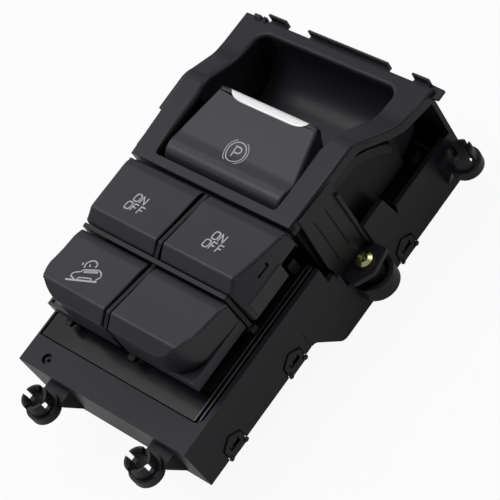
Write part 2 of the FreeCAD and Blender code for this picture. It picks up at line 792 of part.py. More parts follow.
def build_main_housing():
    """Open tub with a front strip, stepped foot, latch hooks, lugs and locating collets."""
    tub = Moulding("main_housing_tub")
    saddle = BOSS_TOP
    tub.pad("YZ", -HALF, HALF, [
        (FRONT, RIM),
        (FRONT, FRONT_FOOT),
        (FRONT + S.step_start, FRONT_FOOT, S.step_round_top),
        (FRONT + S.step_end, WALL_FOOT, S.step_round_foot),
        (BACK, WALL_FOOT),
        (BACK, RIM + S.back_wall_rise),
        (BACK - S.end_wall, RIM + S.back_wall_rise),
        (BACK - S.end_wall, RIM - S.window_drop),
        (FRONT + WINDOW_FRONT, RIM - S.window_drop),
        (FRONT + WINDOW_FRONT - 1.0, RIM - S.notch_drop),
        (FRONT + BLOCK_BACK, RIM - S.block_drop),
        (FRONT + SADDLE_BACK + S.seat_gap, RIM - S.block_drop),
        (FRONT + SADDLE_BACK + S.seat_gap, saddle),
        (FRONT + SADDLE_FRONT, saddle),
        (FRONT + SADDLE_FRONT, RIM - S.shoulder_drop - 2.4),
        (FRONT + SHOULDER_END, RIM - S.shoulder_drop - 2.4),
        (FRONT + SHOULDER_END, RIM - S.shoulder_drop),
        (FRONT + BACK_ROW_BACK, RIM - S.shoulder_drop),
        (FRONT + BACK_ROW_BACK, RIM),
    ])
    tub.pocket("YZ", -INNER_HALF, INNER_HALF, [
        (FRONT + S.end_wall, -FAR),
        (BACK - S.end_wall, -FAR),
        (BACK - S.end_wall, RIM - S.strip_thickness),
        (FRONT + S.end_wall, RIM - S.strip_thickness),
    ])
    tub.pocket("XY", RIM - S.strip_thickness, RIM + FAR, [
        (-INNER_HALF, FRONT + S.strip_depth),
        (INNER_HALF, FRONT + S.strip_depth, S.strip_corner),
        (INNER_HALF, BACK - S.end_wall),
        (-INNER_HALF, BACK - S.end_wall),
    ])
    tub.pocket("XY", DECK_TOP - S.deck_thickness - S.running_gap, RIM + FAR,
               rectangle(S.deck_left_ridge - HALF, 0.1 - INNER_HALF,
                         FRONT + S.strip_depth, FRONT + BACK_ROW_BACK + 1.0))
    tub.pocket("XY", RIM - S.dimple_depth, RIM,
               (-DIMPLE_X, FRONT + S.dimple_y, S.dimple_radius),
               (-DIMPLE_X, FRONT + S.dimple_y, S.dimple_pin))
    recess_floor = HALF - S.latch_recess
    windows = [latch_window(y, foot, S.latch_hook_gap) for y, foot in LATCHES]
    tub.pocket("YZ", recess_floor, HALF, *windows)
    tub.pocket("YZ", -HALF, -recess_floor, *windows)
    seam = rectangle(FRONT + S.wall_seam - 0.12, FRONT + S.wall_seam + 0.12,
                     WALL_FOOT, FRONT_FOOT + S.wall_seam_height)
    tub.pocket("YZ", HALF - S.wall_seam_depth, HALF, seam)
    tub.pocket("YZ", -HALF, S.wall_seam_depth - HALF, seam)
    hooks = [hook_outline(y, foot) for y, foot in LATCHES]
    tub.pad("YZ", recess_floor, HALF, *hooks)
    tub.pad("YZ", -HALF, -recess_floor, *hooks)

    half_bracket = S.collet_bracket_width / 2
    foot_gap = S.collet_foot_height
    shelf = COLLET_TOP - S.collet_height - 1.6
    added = []
    for side, across in (("left", -FRONT_COLLET_X), ("right", FRONT_COLLET_X)):
        added.append(prism(f"front_bracket_{side}", "YZ", across - half_bracket, across + half_bracket, [
            (FRONT + 0.5, shelf),
            (FRONT_COLLET_Y + S.collet_bore + 0.3, shelf),
            (FRONT_COLLET_Y + S.collet_bore + 0.3, shelf - foot_gap + 1.6),
            (FRONT + 0.5, FRONT_FOOT + 0.6),
        ]))
        added.append(collet(f"front_collet_{side}", across, FRONT_COLLET_Y, COLLET_TOP))
    shelf = REAR_COLLET_TOP - S.collet_height - 1.6
    rear_bracket = prism("rear_bracket_right", "XZ", REAR_COLLET_Y - half_bracket,
                         REAR_COLLET_Y + half_bracket, [
                             (HALF - 0.5, shelf),
                             (REAR_COLLET_X - S.collet_bore - 0.3, shelf),
                             (REAR_COLLET_X - S.collet_bore - 0.3, shelf - foot_gap + 1.6),
                             (HALF - 0.5, WALL_FOOT + 3.0),
                         ])
    rear = fuse("rear_locator_right", rear_bracket,
                collet("rear_collet_right", REAR_COLLET_X, REAR_COLLET_Y, REAR_COLLET_TOP))
    lug_low = LUG_TOP - S.lug_height
    keep_out = block("lug_inside", -INNER_HALF, INNER_HALF, FRONT, BACK, -FAR, LUG_TOP + 1.0)
    lug = cylinder("lug", "Z", SCREW_X, SCREW_Y, lug_low, LUG_TOP, S.lug_radius)
    lug_taper = cone("lug_taper", "Z", SCREW_X, SCREW_Y, lug_low - S.lug_radius / 2, lug_low,
                     S.lug_radius / 3, S.lug_radius)
    groove = cylinder("lug_groove", "Z", SCREW_X, SCREW_Y, LUG_TOP - S.lug_groove_depth,
                      LUG_TOP + 1.0, S.lug_groove)
    boss = cylinder("boss", "Z", SCREW_X, SCREW_Y, lug_low, BOSS_TOP, S.boss_radius)
    pilot = cylinder("pilot", "Z", SCREW_X, SCREW_Y, BOSS_TOP - S.screw_length, BOSS_TOP + 1.0,
                     S.screw_pilot)
    ring = cut("lug_ring", fuse("lug_body", lug, lug_taper), groove)
    ring = cut("lug_outside", ring, keep_out)
    lug_right = fuse("lug_right", ring, boss)
    whole = fuse("main_housing_whole", tub.body, rear, mirrored("rear_left", rear), lug_right,
                 mirrored("lug_left", lug_right), *added)
    node("main_housing", cut("main_housing", whole, pilot, mirrored("pilot_left", pilot)))


def build_bottom_cover():
    """Stepped floor inside the walls, with loops that snap over the hooks and a socket opening."""
    inner = INNER_HALF - S.cover_gap
    near = FRONT + S.end_wall + S.cover_gap
    far = BACK - S.end_wall - S.cover_gap
    foot = WALL_FOOT - S.foot_proud
    front_foot = FRONT_FOOT - S.foot_proud
    thick = S.cover_thickness
    cover = Moulding("bottom_cover")
    cover.pad("YZ", -inner, inner, [
        (near, front_foot),
        (FRONT + S.step_start - 0.6, front_foot, S.step_round_top),
        (FRONT + S.step_end - 0.6, foot, S.step_round_foot),
        (far, foot),
        (far, foot + thick),
        (FRONT + S.step_end + 0.6, foot + thick, S.step_round_foot),
        (FRONT + S.step_start + 0.6, front_foot + thick, S.step_round_top),
        (near, front_foot + thick),
    ])
    cover.pocket("XY", foot - 1.0, foot + thick + 1.0,
                 box_about(0, SOCKET_Y, S.socket_half_width + S.seat_gap,
                           S.socket_half_length + S.seat_gap, 1.0))
    strap = S.foot_proud - 0.1
    loop_inner = HALF - S.latch_recess + 0.1
    loop_outer = loop_inner + S.latch_thickness
    for along, wall_foot in LATCHES:
        half = S.latch_width / 2
        low = wall_foot - S.foot_proud
        cover.pad("XY", low, low + strap, rectangle(inner - 0.4, loop_outer, along - half, along + half))
        cover.pad("XY", low, low + strap, rectangle(-loop_outer, -inner + 0.4, along - half, along + half))
    loops = [latch_window(y, f, 0.0) for y, f in LATCHES]
    holes = [slot_outline(y, f) for y, f in LATCHES]
    cover.pad("YZ", loop_inner, loop_outer, *loops, *holes)
    cover.pad("YZ", -loop_outer, -loop_inner, *loops, *holes)
    knobs = []
    for along, wall_foot in LATCHES:
        for end in (-1, 1):
            knobs.append((along + end * (S.latch_width / 2 - 0.3), wall_foot - S.foot_proud + S.latch_knob, S.latch_knob))
    cover.pad("YZ", loop_outer - 0.1, loop_outer + 0.35, *knobs)
    cover.pad("YZ", -loop_outer - 0.35, 0.1 - loop_outer, *knobs)
    for across, along in BOARD_POSTS:
        floor = front_foot if along.number < (FRONT + S.step_start).number else foot
        cover.pad("XY", floor + thick / 2, BOARD_TOP - S.board_thickness, (across, along, 2.6))
    cover.pocket("XY", BOARD_TOP - S.board_thickness - S.board_screw_length - 0.3, BOARD_TOP - S.board_thickness,
                 *[(x, y, S.board_screw_radius - 0.25) for x, y in BOARD_POSTS])
    node("bottom_cover", cover.body)


def build_circuit_board():
    """Printed circuit board on the cover's posts, with its screws, chip and lamps."""
    board = Moulding("circuit_board")
    reach = CURTAIN_X - S.curtain_wall - 0.5
    board.pad("XY", BOARD_TOP - S.board_thickness, BOARD_TOP,
              rectangle(-reach, reach, FRONT + S.end_wall + 1.0, FRONT + BOARD_BACK, 1.5),
              *[(x, y, S.board_screw_radius + 0.2) for x, y in BOARD_POSTS])
    node("circuit_board", board.body)
    screws = []
    for across, along in BOARD_POSTS:
        shank = cylinder("board_screw", "Z", across, along,
                         BOARD_TOP - S.board_thickness - S.board_screw_length, BOARD_TOP + 0.5,
                         S.board_screw_radius - 0.3)
        head = cylinder("board_screw", "Z", across, along, BOARD_TOP + 0.05,
                        BOARD_TOP + 1.6, S.board_screw_head)
        screws.append(fuse("board_screw", shank, head))
    group("board_screws", screws)
    half = S.chip_side / 2
    middle = FRONT + (BACK_ROW_FRONT + FRONT_ROW_BACK) / 2
    node("microcontroller", block("microcontroller", -half, half, middle - half, middle + half,
                                  BOARD_TOP + 0.1, BOARD_TOP + 0.1 + S.chip_height))
    lamps = []
    for name in ("back_left", "back_right", "front_left"):
        across, along = button_middle(name)
        lamps.append(block("lamp", across - 1.6, across + 1.6, along - 9.4, along - 7.6,
                           BOARD_TOP + 0.1, BOARD_TOP + 1.3))
    group("indicator_lamps", lamps)


def build_connector():
    """Socket shell under the board with its row of pins."""
    low = WALL_FOOT
    high = BOARD_TOP - S.board_thickness
    shell = Moulding("connector_socket")
    outer = box_about(0, SOCKET_Y, S.socket_half_width, S.socket_half_length, 1.0)
    inner = box_about(0, SOCKET_Y, S.socket_half_width - S.socket_wall,
                      S.socket_half_length - S.socket_wall, 0.6)
    shell.pad("XY", low, high, outer)
    shell.pocket("XY", low, high - 8.0, inner)
    lock = S.socket_half_length - S.socket_wall
    shell.pocket("XY", low, low + 3.0, rectangle(-3.0, 3.0, SOCKET_Y + lock, SOCKET_Y + lock + 4.0))
    pins = []
    places = []
    for row in (-1.5, 1.5):
        for step in (-2, -1, 0, 1, 2):
            places.append((S.pin_pitch * step, SOCKET_Y + row))
    half = S.pin_width / 2
    shell.pocket("XY", high - 8.5, high + 1.0, *[box_about(x, y, half, half) for x, y in places])
    node("connector_socket", shell.body)
    for across, along in places:
        pins.append(block("terminal_pin", across - half, across + half, along - half, along + half,
                          low + 5.0, high))
    group("terminal_pins", pins)


BUTTONS = {
    "back_left": (-1, BACK_ROW_FRONT, BACK_ROW_BACK),
    "back_right": (1, BACK_ROW_FRONT, BACK_ROW_BACK),
    "front_left": (-1, S.front_row_front, FRONT_ROW_BACK),
    "front_right": (1, S.front_row_front, FRONT_ROW_BACK),
}


def button_middle(name):
    """Centre of a button's stem in the plan."""
    side, near, far = BUTTONS[name]
    return BUTTON_X * side, FRONT + (near + far) / 2


def build_dome(name):
    """Silicone dome on the board under a working button."""
    across, along = button_middle(name)
    base_top = BOARD_TOP + S.dome_base
    base = cylinder("dome_base", "Z", across, along, BOARD_TOP, base_top, S.dome_radius + 1.0)
    dome = cone("dome", "Z", across, along, base_top - 0.1, base_top + S.dome_height,
                S.dome_radius, S.dome_top_radius)
    label = f"contact_dome_{name}"
    node(label, fuse(label, base, dome))


def build_switch_deck():
    """Glossy tray under the buttons with two thin rails along its right side."""
    near = FRONT + S.strip_depth + S.deck_front_gap
    far = FRONT + BACK_ROW_BACK - 0.3
    deck = Moulding("switch_deck")
    outer = RAIL_OUTER + S.deck_rail
    left = HALF - S.deck_left_ridge - S.deck_left_gap
    top = DECK_TOP
    deck.pad("XY", top - S.deck_thickness, top, [
        (-left, near), (outer, near, S.strip_corner - 0.5), (outer, far), (-left, far)])
    for rail, start in ((RAIL_INNER, near), (RAIL_OUTER, near + 1.2)):
        deck.pad("XY", top - 0.1, RIM + 0.3, rectangle(rail, rail + S.deck_rail, start, far))
    skirt = [rectangle(-outer + 0.6, outer - 0.6, near + 0.4, far - 0.4),
             rectangle(-outer + 1.8, outer - 1.8, near + 1.6, far - 1.6)]
    deck.pad("XY", BOARD_TOP + S.seat_gap, top - S.deck_thickness + 0.1, *skirt)
    hole = S.stem_width / 2 + S.seat_gap
    deck.pocket("XY", top - S.deck_thickness - 1.0, top + 1.0,
                *[box_about(*button_middle(n), hole, hole) for n in BUTTONS])
    node("switch_deck", deck.body)


def build_button_guide():
    """Plate with four square chimneys and the cross of thin walls between the buttons."""
    low = DECK_TOP
    plate_top = low + S.guide_plate
    guide = Moulding("button_guide")
    reach = RAIL_INNER - 0.6
    guide.pad("XY", low, plate_top, rectangle(-reach, reach, FRONT + S.guide_front,
                                              FRONT + BACK_ROW_BACK - 1.0))
    bore = S.stem_width / 2 + S.stem_slide_gap
    wall = bore + S.chimney_wall
    for name in BUTTONS:
        across, along = button_middle(name)
        guide.pad("XY", low + 0.1, RIM + S.chimney_rise, box_about(across, along, wall, wall, 1.0))
    guide.pocket("XY", low - 1.0, RIM + S.chimney_rise + 1.0,
                 *[box_about(*button_middle(n), bore, bore) for n in BUTTONS])
    half = S.rib_thickness / 2
    row_middle = FRONT + (BACK_ROW_FRONT + FRONT_ROW_BACK) / 2
    top = RIM + S.cross_wall_rise
    end = LEDGE_HALF + S.ledge_rim
    guide.pad("XZ", row_middle - half, row_middle + half, [
        (-reach, low + 0.1), (reach, low + 0.1), (end - 0.4, RIM + 2.0), (end - 0.4, RIM + 4.0),
        (end - 2.0, top, 0.8), (-end + 2.0, top, 0.8), (-end + 0.4, RIM + 4.0), (-end + 0.4, RIM + 2.0),
    ])
    near = FRONT + BACK_ROW_BACK - 5.7
    for side in (1, -1):
        clip = sides(side, RAIL_INNER - 2.6, RAIL_INNER - 0.7)
        guide.pad("XY", low + 0.1, RIM + 6.7, rectangle(*clip, near, near + 3.6, 0.4))
        knob = sides(side, end - 2.0, end + 0.6)
        guide.pad("XZ", row_middle - 1.2, row_middle + 1.2, rectangle(*knob, RIM + 2.2, RIM + 4.8, 0.7))
    below = 0.5
    crest = RIM + S.cap_crest_rise - below
    back_rise = RIM + S.cap_back_rise - S.cap_roll_drop - below
    lip = RIM + S.cap_lip_rise - below
    guide.pad("YZ", -half, half, [
        (FRONT + S.guide_front, low + 0.1),
        (FRONT + BACK_ROW_BACK, low + 0.1),
        (FRONT + BACK_ROW_BACK, back_rise),
        (FRONT + BACK_ROW_FRONT + S.cap_lip_run, crest, 1.5),
        (row_middle, lip),
        (FRONT + FRONT_ROW_BACK, back_rise),
        (FRONT + S.front_row_front + S.cap_lip_run, crest, 1.5),
        (FRONT + S.front_row_front, lip),
        (FRONT + S.front_row_front, lip - 6.0),
        (FRONT + S.guide_front, lip - 9.0),
    ])
    for across in (-LEDGE_HALF + 5.1, S.rib_thickness / 2 + 0.7):
        guide.pad("YZ", across, across + 2.6, [
            (FRONT + S.guide_front + 0.5, low + 0.1), (FRONT + S.guide_front + 0.5, RIM + 4.6),
            (FRONT + 16.4, RIM + 4.6), (FRONT + 16.4, RIM + 3.4), (FRONT + 18.6, RIM + 2.2),
            (FRONT + 18.6, low + 0.1),
        ])
    node("button_guide", guide.body)


def cap_side(near, far, foot):
    """Side view of a button: a shallow dish behind a crest, with a steep front lip."""
    middle = (near + S.cap_lip_run + far) / 2
    return [
        (near, foot),
        (far, foot),
        (far, RIM + S.cap_back_rise - S.cap_roll_drop, 0.6),
        (far - S.cap_roll_run, RIM + S.cap_back_rise + 0.25, 5.0),
        (middle, RIM + (S.cap_back_rise + S.cap_crest_rise) / 2 - 0.35, 60.0),
        (near + S.cap_lip_run, RIM + S.cap_crest_rise, 1.6),
        (near, RIM + S.cap_lip_rise, 0.8),
    ]


def loft(stem, sketches):
    """Straight-sided solid between closed outlines."""
    solid = doc.addObject("Part::Loft", Shapes.name(stem))
    solid.Sections = sketches
    solid.Solid = True
    solid.Ruled = True
    return solid


def flat_sketch(stem, height, *shapes):
    """Outline lying at a height."""
    sketch = doc.addObject("Sketcher::SketchObject", Shapes.name(stem))
    bind(sketch, "Placement.Base.z", height)
    draw_shapes(sketch, shapes)
    sketch.Visibility = False
    return sketch


def back_cap_form(inset):
    """Body of a back row button drawn in by an inset: a leaning wall over a nearly upright one."""
    near = FRONT + BACK_ROW_FRONT + inset
    far = FRONT + BACK_ROW_BACK - inset
    inner = S.rib_thickness / 2 + S.cap_gap + inset
    corner = 1.6 - inset / 2
    levels = (
        (RIM + S.cap_foot_rise, CAP_FOOT_HALF - inset, CAP_FOOT_HALF - inset),
        (RIM + S.cap_waist_rise, CAP_WAIST_HALF - inset, CAP_WAIST_HALF - inset),
        (RIM + S.cap_crest_rise + 0.5, CAP_FRONT_HALF - inset, CAP_BACK_HALF - inset),
    )
    outlines = []
    for height, front_half, back_half in levels:
        outlines.append(flat_sketch("cap_level", height, [
            (inner, near), (front_half, near, corner), (back_half, far), (inner, far)]))
    return loft("cap_loft", outlines)


def build_back_cap(label, side):
    """Back row button with a notch in the rear of its outer wall."""
    near = FRONT + BACK_ROW_FRONT
    far = FRONT + BACK_ROW_BACK
    foot = RIM + S.cap_foot_rise
    form = common("cap_form", back_cap_form(0.0),
                  prism("cap_side", "YZ", 0, FAR, cap_side(near, far, foot - 1.0)))
    skin = S.cap_skin
    cavity = common("cap_cavity", back_cap_form(skin),
                    prism("cap_roof", "YZ", 0, FAR, rectangle(near, far, foot - 1.0, RIM + S.cap_lip_rise - skin)))
    notch = block("cap_notch", CAP_FRONT_HALF - skin, FAR, far - S.cap_notch_length, far + 1.0,
                  foot - 1.0, RIM + S.cap_notch_rise)
    panel = block("cap_panel", CAP_WAIST_HALF - 1.0, CAP_WAIST_HALF + S.cap_panel_proud,
                  near + S.cap_panel_start, far - S.cap_notch_length, foot, RIM + S.cap_waist_rise)
    slot_front = near + S.cap_slot_start
    slot_back = slot_front + S.cap_slot_length
    slot_low = RIM + S.cap_slot_rise
    slot = prism("cap_slot", "YZ", CAP_FRONT_HALF - 2.0, FAR, [
        (slot_front, slot_low),
        (slot_back, slot_low),
        (slot_back, slot_low + S.cap_slot_hook),
        (slot_back - S.cap_slot_bar, slot_low + S.cap_slot_hook),
        (slot_back - S.cap_slot_bar, slot_low + S.cap_slot_bar),
        (slot_front, slot_low + S.cap_slot_bar),
    ])
    shell = cut(label, fuse("cap_whole", form, panel), cavity, notch, slot)
    if side < 0:
        shell = mirrored(label, shell)
    node(label, shell)


def build_front_cap(label, side, plug):
    """Front row button: a body with a round outer corner, standing in a shallow rimmed ledge."""
    near = FRONT + S.front_row_front
    far = FRONT + FRONT_ROW_BACK
    inner = S.rib_thickness / 2 + S.cap_gap
    foot = RIM + S.ledge_foot_rise
    floor = RIM + S.ledge_floor_rise
    round_size = S.front_corner_round
    corner = LEDGE_HALF - S.front_corner_draw
    lower = flat_sketch("cap_foot", foot, [
        (inner, near), (corner, near, round_size), (LEDGE_HALF, far), (inner, far)])
    upper = flat_sketch("cap_crest", RIM + S.cap_crest_rise + 0.5, [
        (inner, near), (corner - 0.4, near, round_size), (LEDGE_HALF - 0.3, far), (inner, far)])
    body = common("cap_form", loft("cap_loft", [lower, upper]),
                  prism("cap_side", "YZ", 0, FAR, cap_side(near, far, foot - 1.0)))
    tray = prism("cap_tray", "XY", foot, RIM + S.ledge_rise, rectangle(inner, LEDGE_HALF, near, far))
    well = prism("cap_well", "XY", floor, RIM + FAR, rectangle(
        inner - 1.0, LEDGE_HALF - S.ledge_rim, near + S.ledge_rim, far + 1.0))
    skin = S.cap_skin
    cavity = prism("cap_cavity", "XY", foot - 1.0, RIM + S.cap_lip_rise - skin, [
        (inner + skin, near + skin),
        (corner - skin, near + skin, round_size - skin),
        (corner - skin, far - skin),
        (inner + skin, far - skin),
    ])
    shell = cut(label, fuse("cap_whole", body, cut("cap_ledge", tray, well)), cavity)
    if plug:
        half = S.stem_width / 2
        middle = (near + far) / 2
        shell = fuse(label, shell, block("cap_plug", BUTTON_X - half, BUTTON_X + half,
                                         middle - half, middle + half, DECK_TOP + S.seat_gap,
                                         RIM + S.cap_lip_rise - skin + 0.1))
    if side < 0:
        shell = mirrored(label, shell)
    node(label, shell)


def build_stem(name):
    """Square stem that slides in its chimney and presses the dome."""
    across, along = button_middle(name)
    half = S.stem_width / 2
    flange = S.stem_flange / 2
    stem = Moulding(f"button_stem_{name}")
    top = RIM + S.cap_lip_rise - S.cap_skin
    dome_top = BOARD_TOP + S.dome_base + S.dome_height
    stem.pad("XY", dome_top + S.seat_gap, top, box_about(across, along, half, half, 0.6))
    stem.pad("XY", top - 3.0, top, box_about(across, along, flange, flange, 0.6))
    node(f"button_stem_{name}", stem.body)


def bezel_profile():
    """Top line of the bezel seen from the side, front to back."""
    return [
        (FRONT + BEZEL_FRONT, RIM + S.bezel_front_rise),
        (FRONT + BEZEL_BROW, RIM + S.bezel_brow_rise, S.bezel_brow_round),
        (FRONT + BEZEL_DIP, RIM + S.bezel_dip_rise, S.bezel_dip_round),
        (BACK, RIM + S.bezel_back_rise),
    ]


def lowered(profile, drop):
    """The same line, lower by a drop."""
    return [(c[0], c[1] - drop) + tuple(c[2:]) for c in profile]


def bezel_outline(inset):
    """Plan of the bezel, drawn in by an inset."""
    return [
        (-(BEZEL_FRONT_HALF - inset), FRONT + BEZEL_FRONT + inset),
        (BEZEL_FRONT_HALF - inset, FRONT + BEZEL_FRONT + inset),
        (BEZEL_NECK_HALF - inset, FRONT + BEZEL_NECK, 14.0),
        (BEZEL_FLARE_HALF - inset, FRONT + BEZEL_FLARE, 20.0),
        (BEZEL_BACK_HALF - inset, BACK - inset),
        (-(BEZEL_BACK_HALF - inset), BACK - inset),
        (-(BEZEL_FLARE_HALF - inset), FRONT + BEZEL_FLARE, 20.0),
        (-(BEZEL_NECK_HALF - inset), FRONT + BEZEL_NECK, 14.0),
    ]


def opening_outline(grow):
    """Plan of the opening for the lever and the finger bowl, grown by a wall."""
    corner = S.opening_corner + grow
    return [
        (-(OPENING_HALF + grow), FRONT + OPENING_FRONT - grow, 1.2),
        (OPENING_HALF + grow, FRONT + OPENING_FRONT - grow, 1.2),
        (OPENING_HALF + grow, FRONT + OPENING_NECK, 12.0),
        (OPENING_BACK_HALF + grow, FRONT + OPENING_FLARE, 16.0),
        (OPENING_BACK_HALF + grow, FRONT + OPENING_BACK + grow, corner),
        (-(OPENING_BACK_HALF + grow), FRONT + OPENING_BACK + grow, corner),
        (-(OPENING_BACK_HALF + grow), FRONT + OPENING_FLARE, 16.0),
        (-(OPENING_HALF + grow), FRONT + OPENING_NECK, 12.0),
    ]


def bowl_side(grow):
    """Side view of the space over the bowl's floor, grown by a wall."""
    floor = RIM - S.bowl_floor_drop - grow
    return [
        (FRONT + BOWL_FRONT, floor),
        (FRONT + OPENING_BACK - 1.0 + grow, floor, S.bowl_round + grow),
        (FRONT + OPENING_BACK + 1.0 + grow, RIM + S.bezel_back_rise + 4.0),
        (FRONT + OPENING_BACK + 1.0 + grow, RIM + FAR),
        (FRONT + BOWL_FRONT, RIM + FAR),
    ]


def build_bezel():
    """Wavy top frame with its skirt, finger bowl, curtain walls, screw ears and back tabs."""
    top = bezel_profile()
    under = [(BACK + 5.0, RIM - FAR), (FRONT + BEZEL_FRONT - 5.0, RIM - FAR)]
    start = (FRONT + BEZEL_FRONT - 5.0, RIM + S.bezel_front_rise - 0.14)
    end = (BACK + 5.0, RIM + S.bezel_back_rise - 0.5)
    ridge = [start] + top[1:3] + [end]
    skin_line = lowered(ridge, S.bezel_skin)
    skirt_line = lowered(ridge, S.skirt_height)
    slab = prism("bezel_slab", "XY", RIM, RIM + FAR, bezel_outline(0.0))
    upper = common("bezel_upper", slab, prism("bezel_ridge", "YZ", -FAR, FAR, ridge + under))
    under_skirt = prism("bezel_under_skirt", "YZ", -FAR, FAR, skirt_line + under)
    core = prism("bezel_core", "XY", RIM - 1.0, RIM + FAR, bezel_outline(S.skirt_wall))
    hollow = common("bezel_hollow", core, prism("bezel_under_skin", "YZ", -FAR, FAR, skin_line + under))
    plate = cut("bezel_plate", upper, under_skirt, hollow)
    bowl = common("bezel_bowl", prism("bowl_plan", "XY", RIM - FAR, RIM + FAR, opening_outline(S.bowl_wall)),
                  prism("bowl_side", "YZ", -FAR, FAR, bowl_side(S.bowl_wall)),
                  prism("bowl_roof", "YZ", -FAR, FAR, lowered(ridge, 0.5) + under))
    front_face = FRONT + BEZEL_FRONT
    curtain_foot = EAR_TOP - S.ear_thickness
    curtain_right = prism("curtain", "YZ", CURTAIN_X - S.curtain_wall, CURTAIN_X, [
        (front_face + S.curtain_front_inset, RIM + S.bezel_front_rise - 3.0),
        (front_face + S.curtain_front_inset - 1.0, RIM - 6.0),
        (FRONT + SCREW_PLACE - 7.8, curtain_foot),
        (FRONT + CURTAIN_BACK, curtain_foot),
        (FRONT + CURTAIN_BACK, RIM + S.bezel_front_rise - 1.0),
        (front_face + S.curtain_front_inset, RIM + S.bezel_front_rise - 1.0),
    ])
    grooves = []
    for place in (S.curtain_groove_front, S.curtain_groove_back):
        grooves.append(block("curtain_groove", CURTAIN_X - S.curtain_groove_depth, CURTAIN_X + 1.0,
                             FRONT + place, FRONT + place + S.curtain_groove, RIM - 7.0, RIM + 13.5))
    lip = block("curtain_lip", CURTAIN_X - S.curtain_wall, CURTAIN_X + S.curtain_lip_proud,
                FRONT + CURTAIN_BACK - S.curtain_lip, FRONT + CURTAIN_BACK, EAR_TOP - 0.5, RIM + 13.5)
    curtain_right = cut("curtain_grooved", curtain_right, *grooves)
    ear = prism("ear", "XY", curtain_foot, EAR_TOP, [
        (CURTAIN_X - S.curtain_wall, SCREW_Y - 8.4),
        (CURTAIN_X + 5.0, SCREW_Y - 8.4, 2.0),
        (EAR_REACH, SCREW_Y - 2.0, 3.0),
        (EAR_REACH - 1.6, FRONT + CURTAIN_BACK + 0.4, 0.8),
        (CURTAIN_X - S.curtain_wall, FRONT + CURTAIN_BACK),
    ])
    hole = cylinder("ear_hole", "Z", SCREW_X, SCREW_Y, curtain_foot - 1.0, EAR_TOP + 1.0,
                    S.screw_clearance)
    flank = fuse("flank", curtain_right, lip, cut("ear_drilled", ear, hole))
    front_curtain = block("front_curtain", -BEZEL_FRONT_HALF + 5.0, BEZEL_FRONT_HALF - 5.0, front_face,
                          front_face + 1.4, RIM + 10.0, RIM + S.bezel_front_rise - 1.0)
    tabs = []
    back_top = RIM + S.bezel_back_rise
    middle = BEZEL_BACK_HALF / 2
    places = ((-BEZEL_BACK_HALF + 10.3, -BEZEL_BACK_HALF + 17.7), (-middle + 7.5, middle + 0.8),
              (BEZEL_BACK_HALF - 9.1, BEZEL_BACK_HALF - 2.7))
    for left, right in places:
        tabs.append(prism("back_tab", "YZ", left, right, [
            (BACK - 1.6, back_top - 2.0),
            (BACK + S.tab_reach, back_top - 2.0),
            (BACK + S.tab_reach, back_top + S.tab_height - 0.4),
            (BACK + S.tab_reach - 0.4, back_top + S.tab_height),
            (BACK + S.tab_reach - S.tab_thickness, back_top + S.tab_height),
            (BACK + S.tab_reach - S.tab_thickness, back_top - 2.0 + S.tab_foot),
            (BACK - 1.6, back_top - 2.0 + S.tab_foot),
        ]))
    for inset, width in ((4.3, 2.8), (8.2, 1.4)):
        left = -BEZEL_BACK_HALF + inset
        tabs.append(block("back_bump", left, left + width, BACK - 1.0, BACK + 0.6, back_top - 1.5, back_top + 0.8))
    tabs.append(prism("corner_flange", "XY", back_top - 2.6, back_top - 1.6, [
        (BEZEL_BACK_HALF - 4.3, BACK - 1.0),
        (BEZEL_BACK_HALF - 1.5, BACK - 2.6),
        (BEZEL_BACK_HALF + S.corner_flange_reach, BACK - 2.1),
        (BEZEL_BACK_HALF + S.corner_flange_reach, BACK + 1.7),
        (BEZEL_BACK_HALF - 4.3, BACK + S.tab_reach),
    ]))
    flange_drop = S.side_flange_drop + S.side_flange_thickness
    side_band = cut("side_flange_band", prism("side_flange_top", "YZ", -HALF, -HALF + S.side_flange_reach + 1.6,
                                              lowered(ridge, S.side_flange_drop) + under),
                    prism("side_flange_under", "YZ", -FAR, FAR, lowered(ridge, flange_drop) + under))
    side_zone = block("side_flange_zone", -HALF, -HALF + S.side_flange_reach + 1.6, BACK - S.side_flange_start,
                      BACK - S.side_flange_end, RIM, RIM + FAR)
    tabs.append(common("side_flange", side_band, side_zone))
    clear_front = prism("opening_front", "YZ", -FAR, FAR, rectangle(
        FRONT + BEZEL_FRONT, FRONT + BOWL_FRONT + 0.1, RIM - FAR, RIM + FAR))
    clear_bowl = prism("opening_bowl", "YZ", -FAR, FAR, bowl_side(0.0))
    plan = prism("opening_plan", "XY", RIM - FAR, RIM + FAR, opening_outline(0.0))
    opening = common("opening", plan, fuse("opening_side", clear_front, clear_bowl))
    shell = cut("bezel_shell", fuse("bezel_whole", plate, bowl), opening)
    node("pocket_bezel", fuse("pocket_bezel", shell, flank, mirrored("flank_left", flank),
                              front_curtain, *tabs))


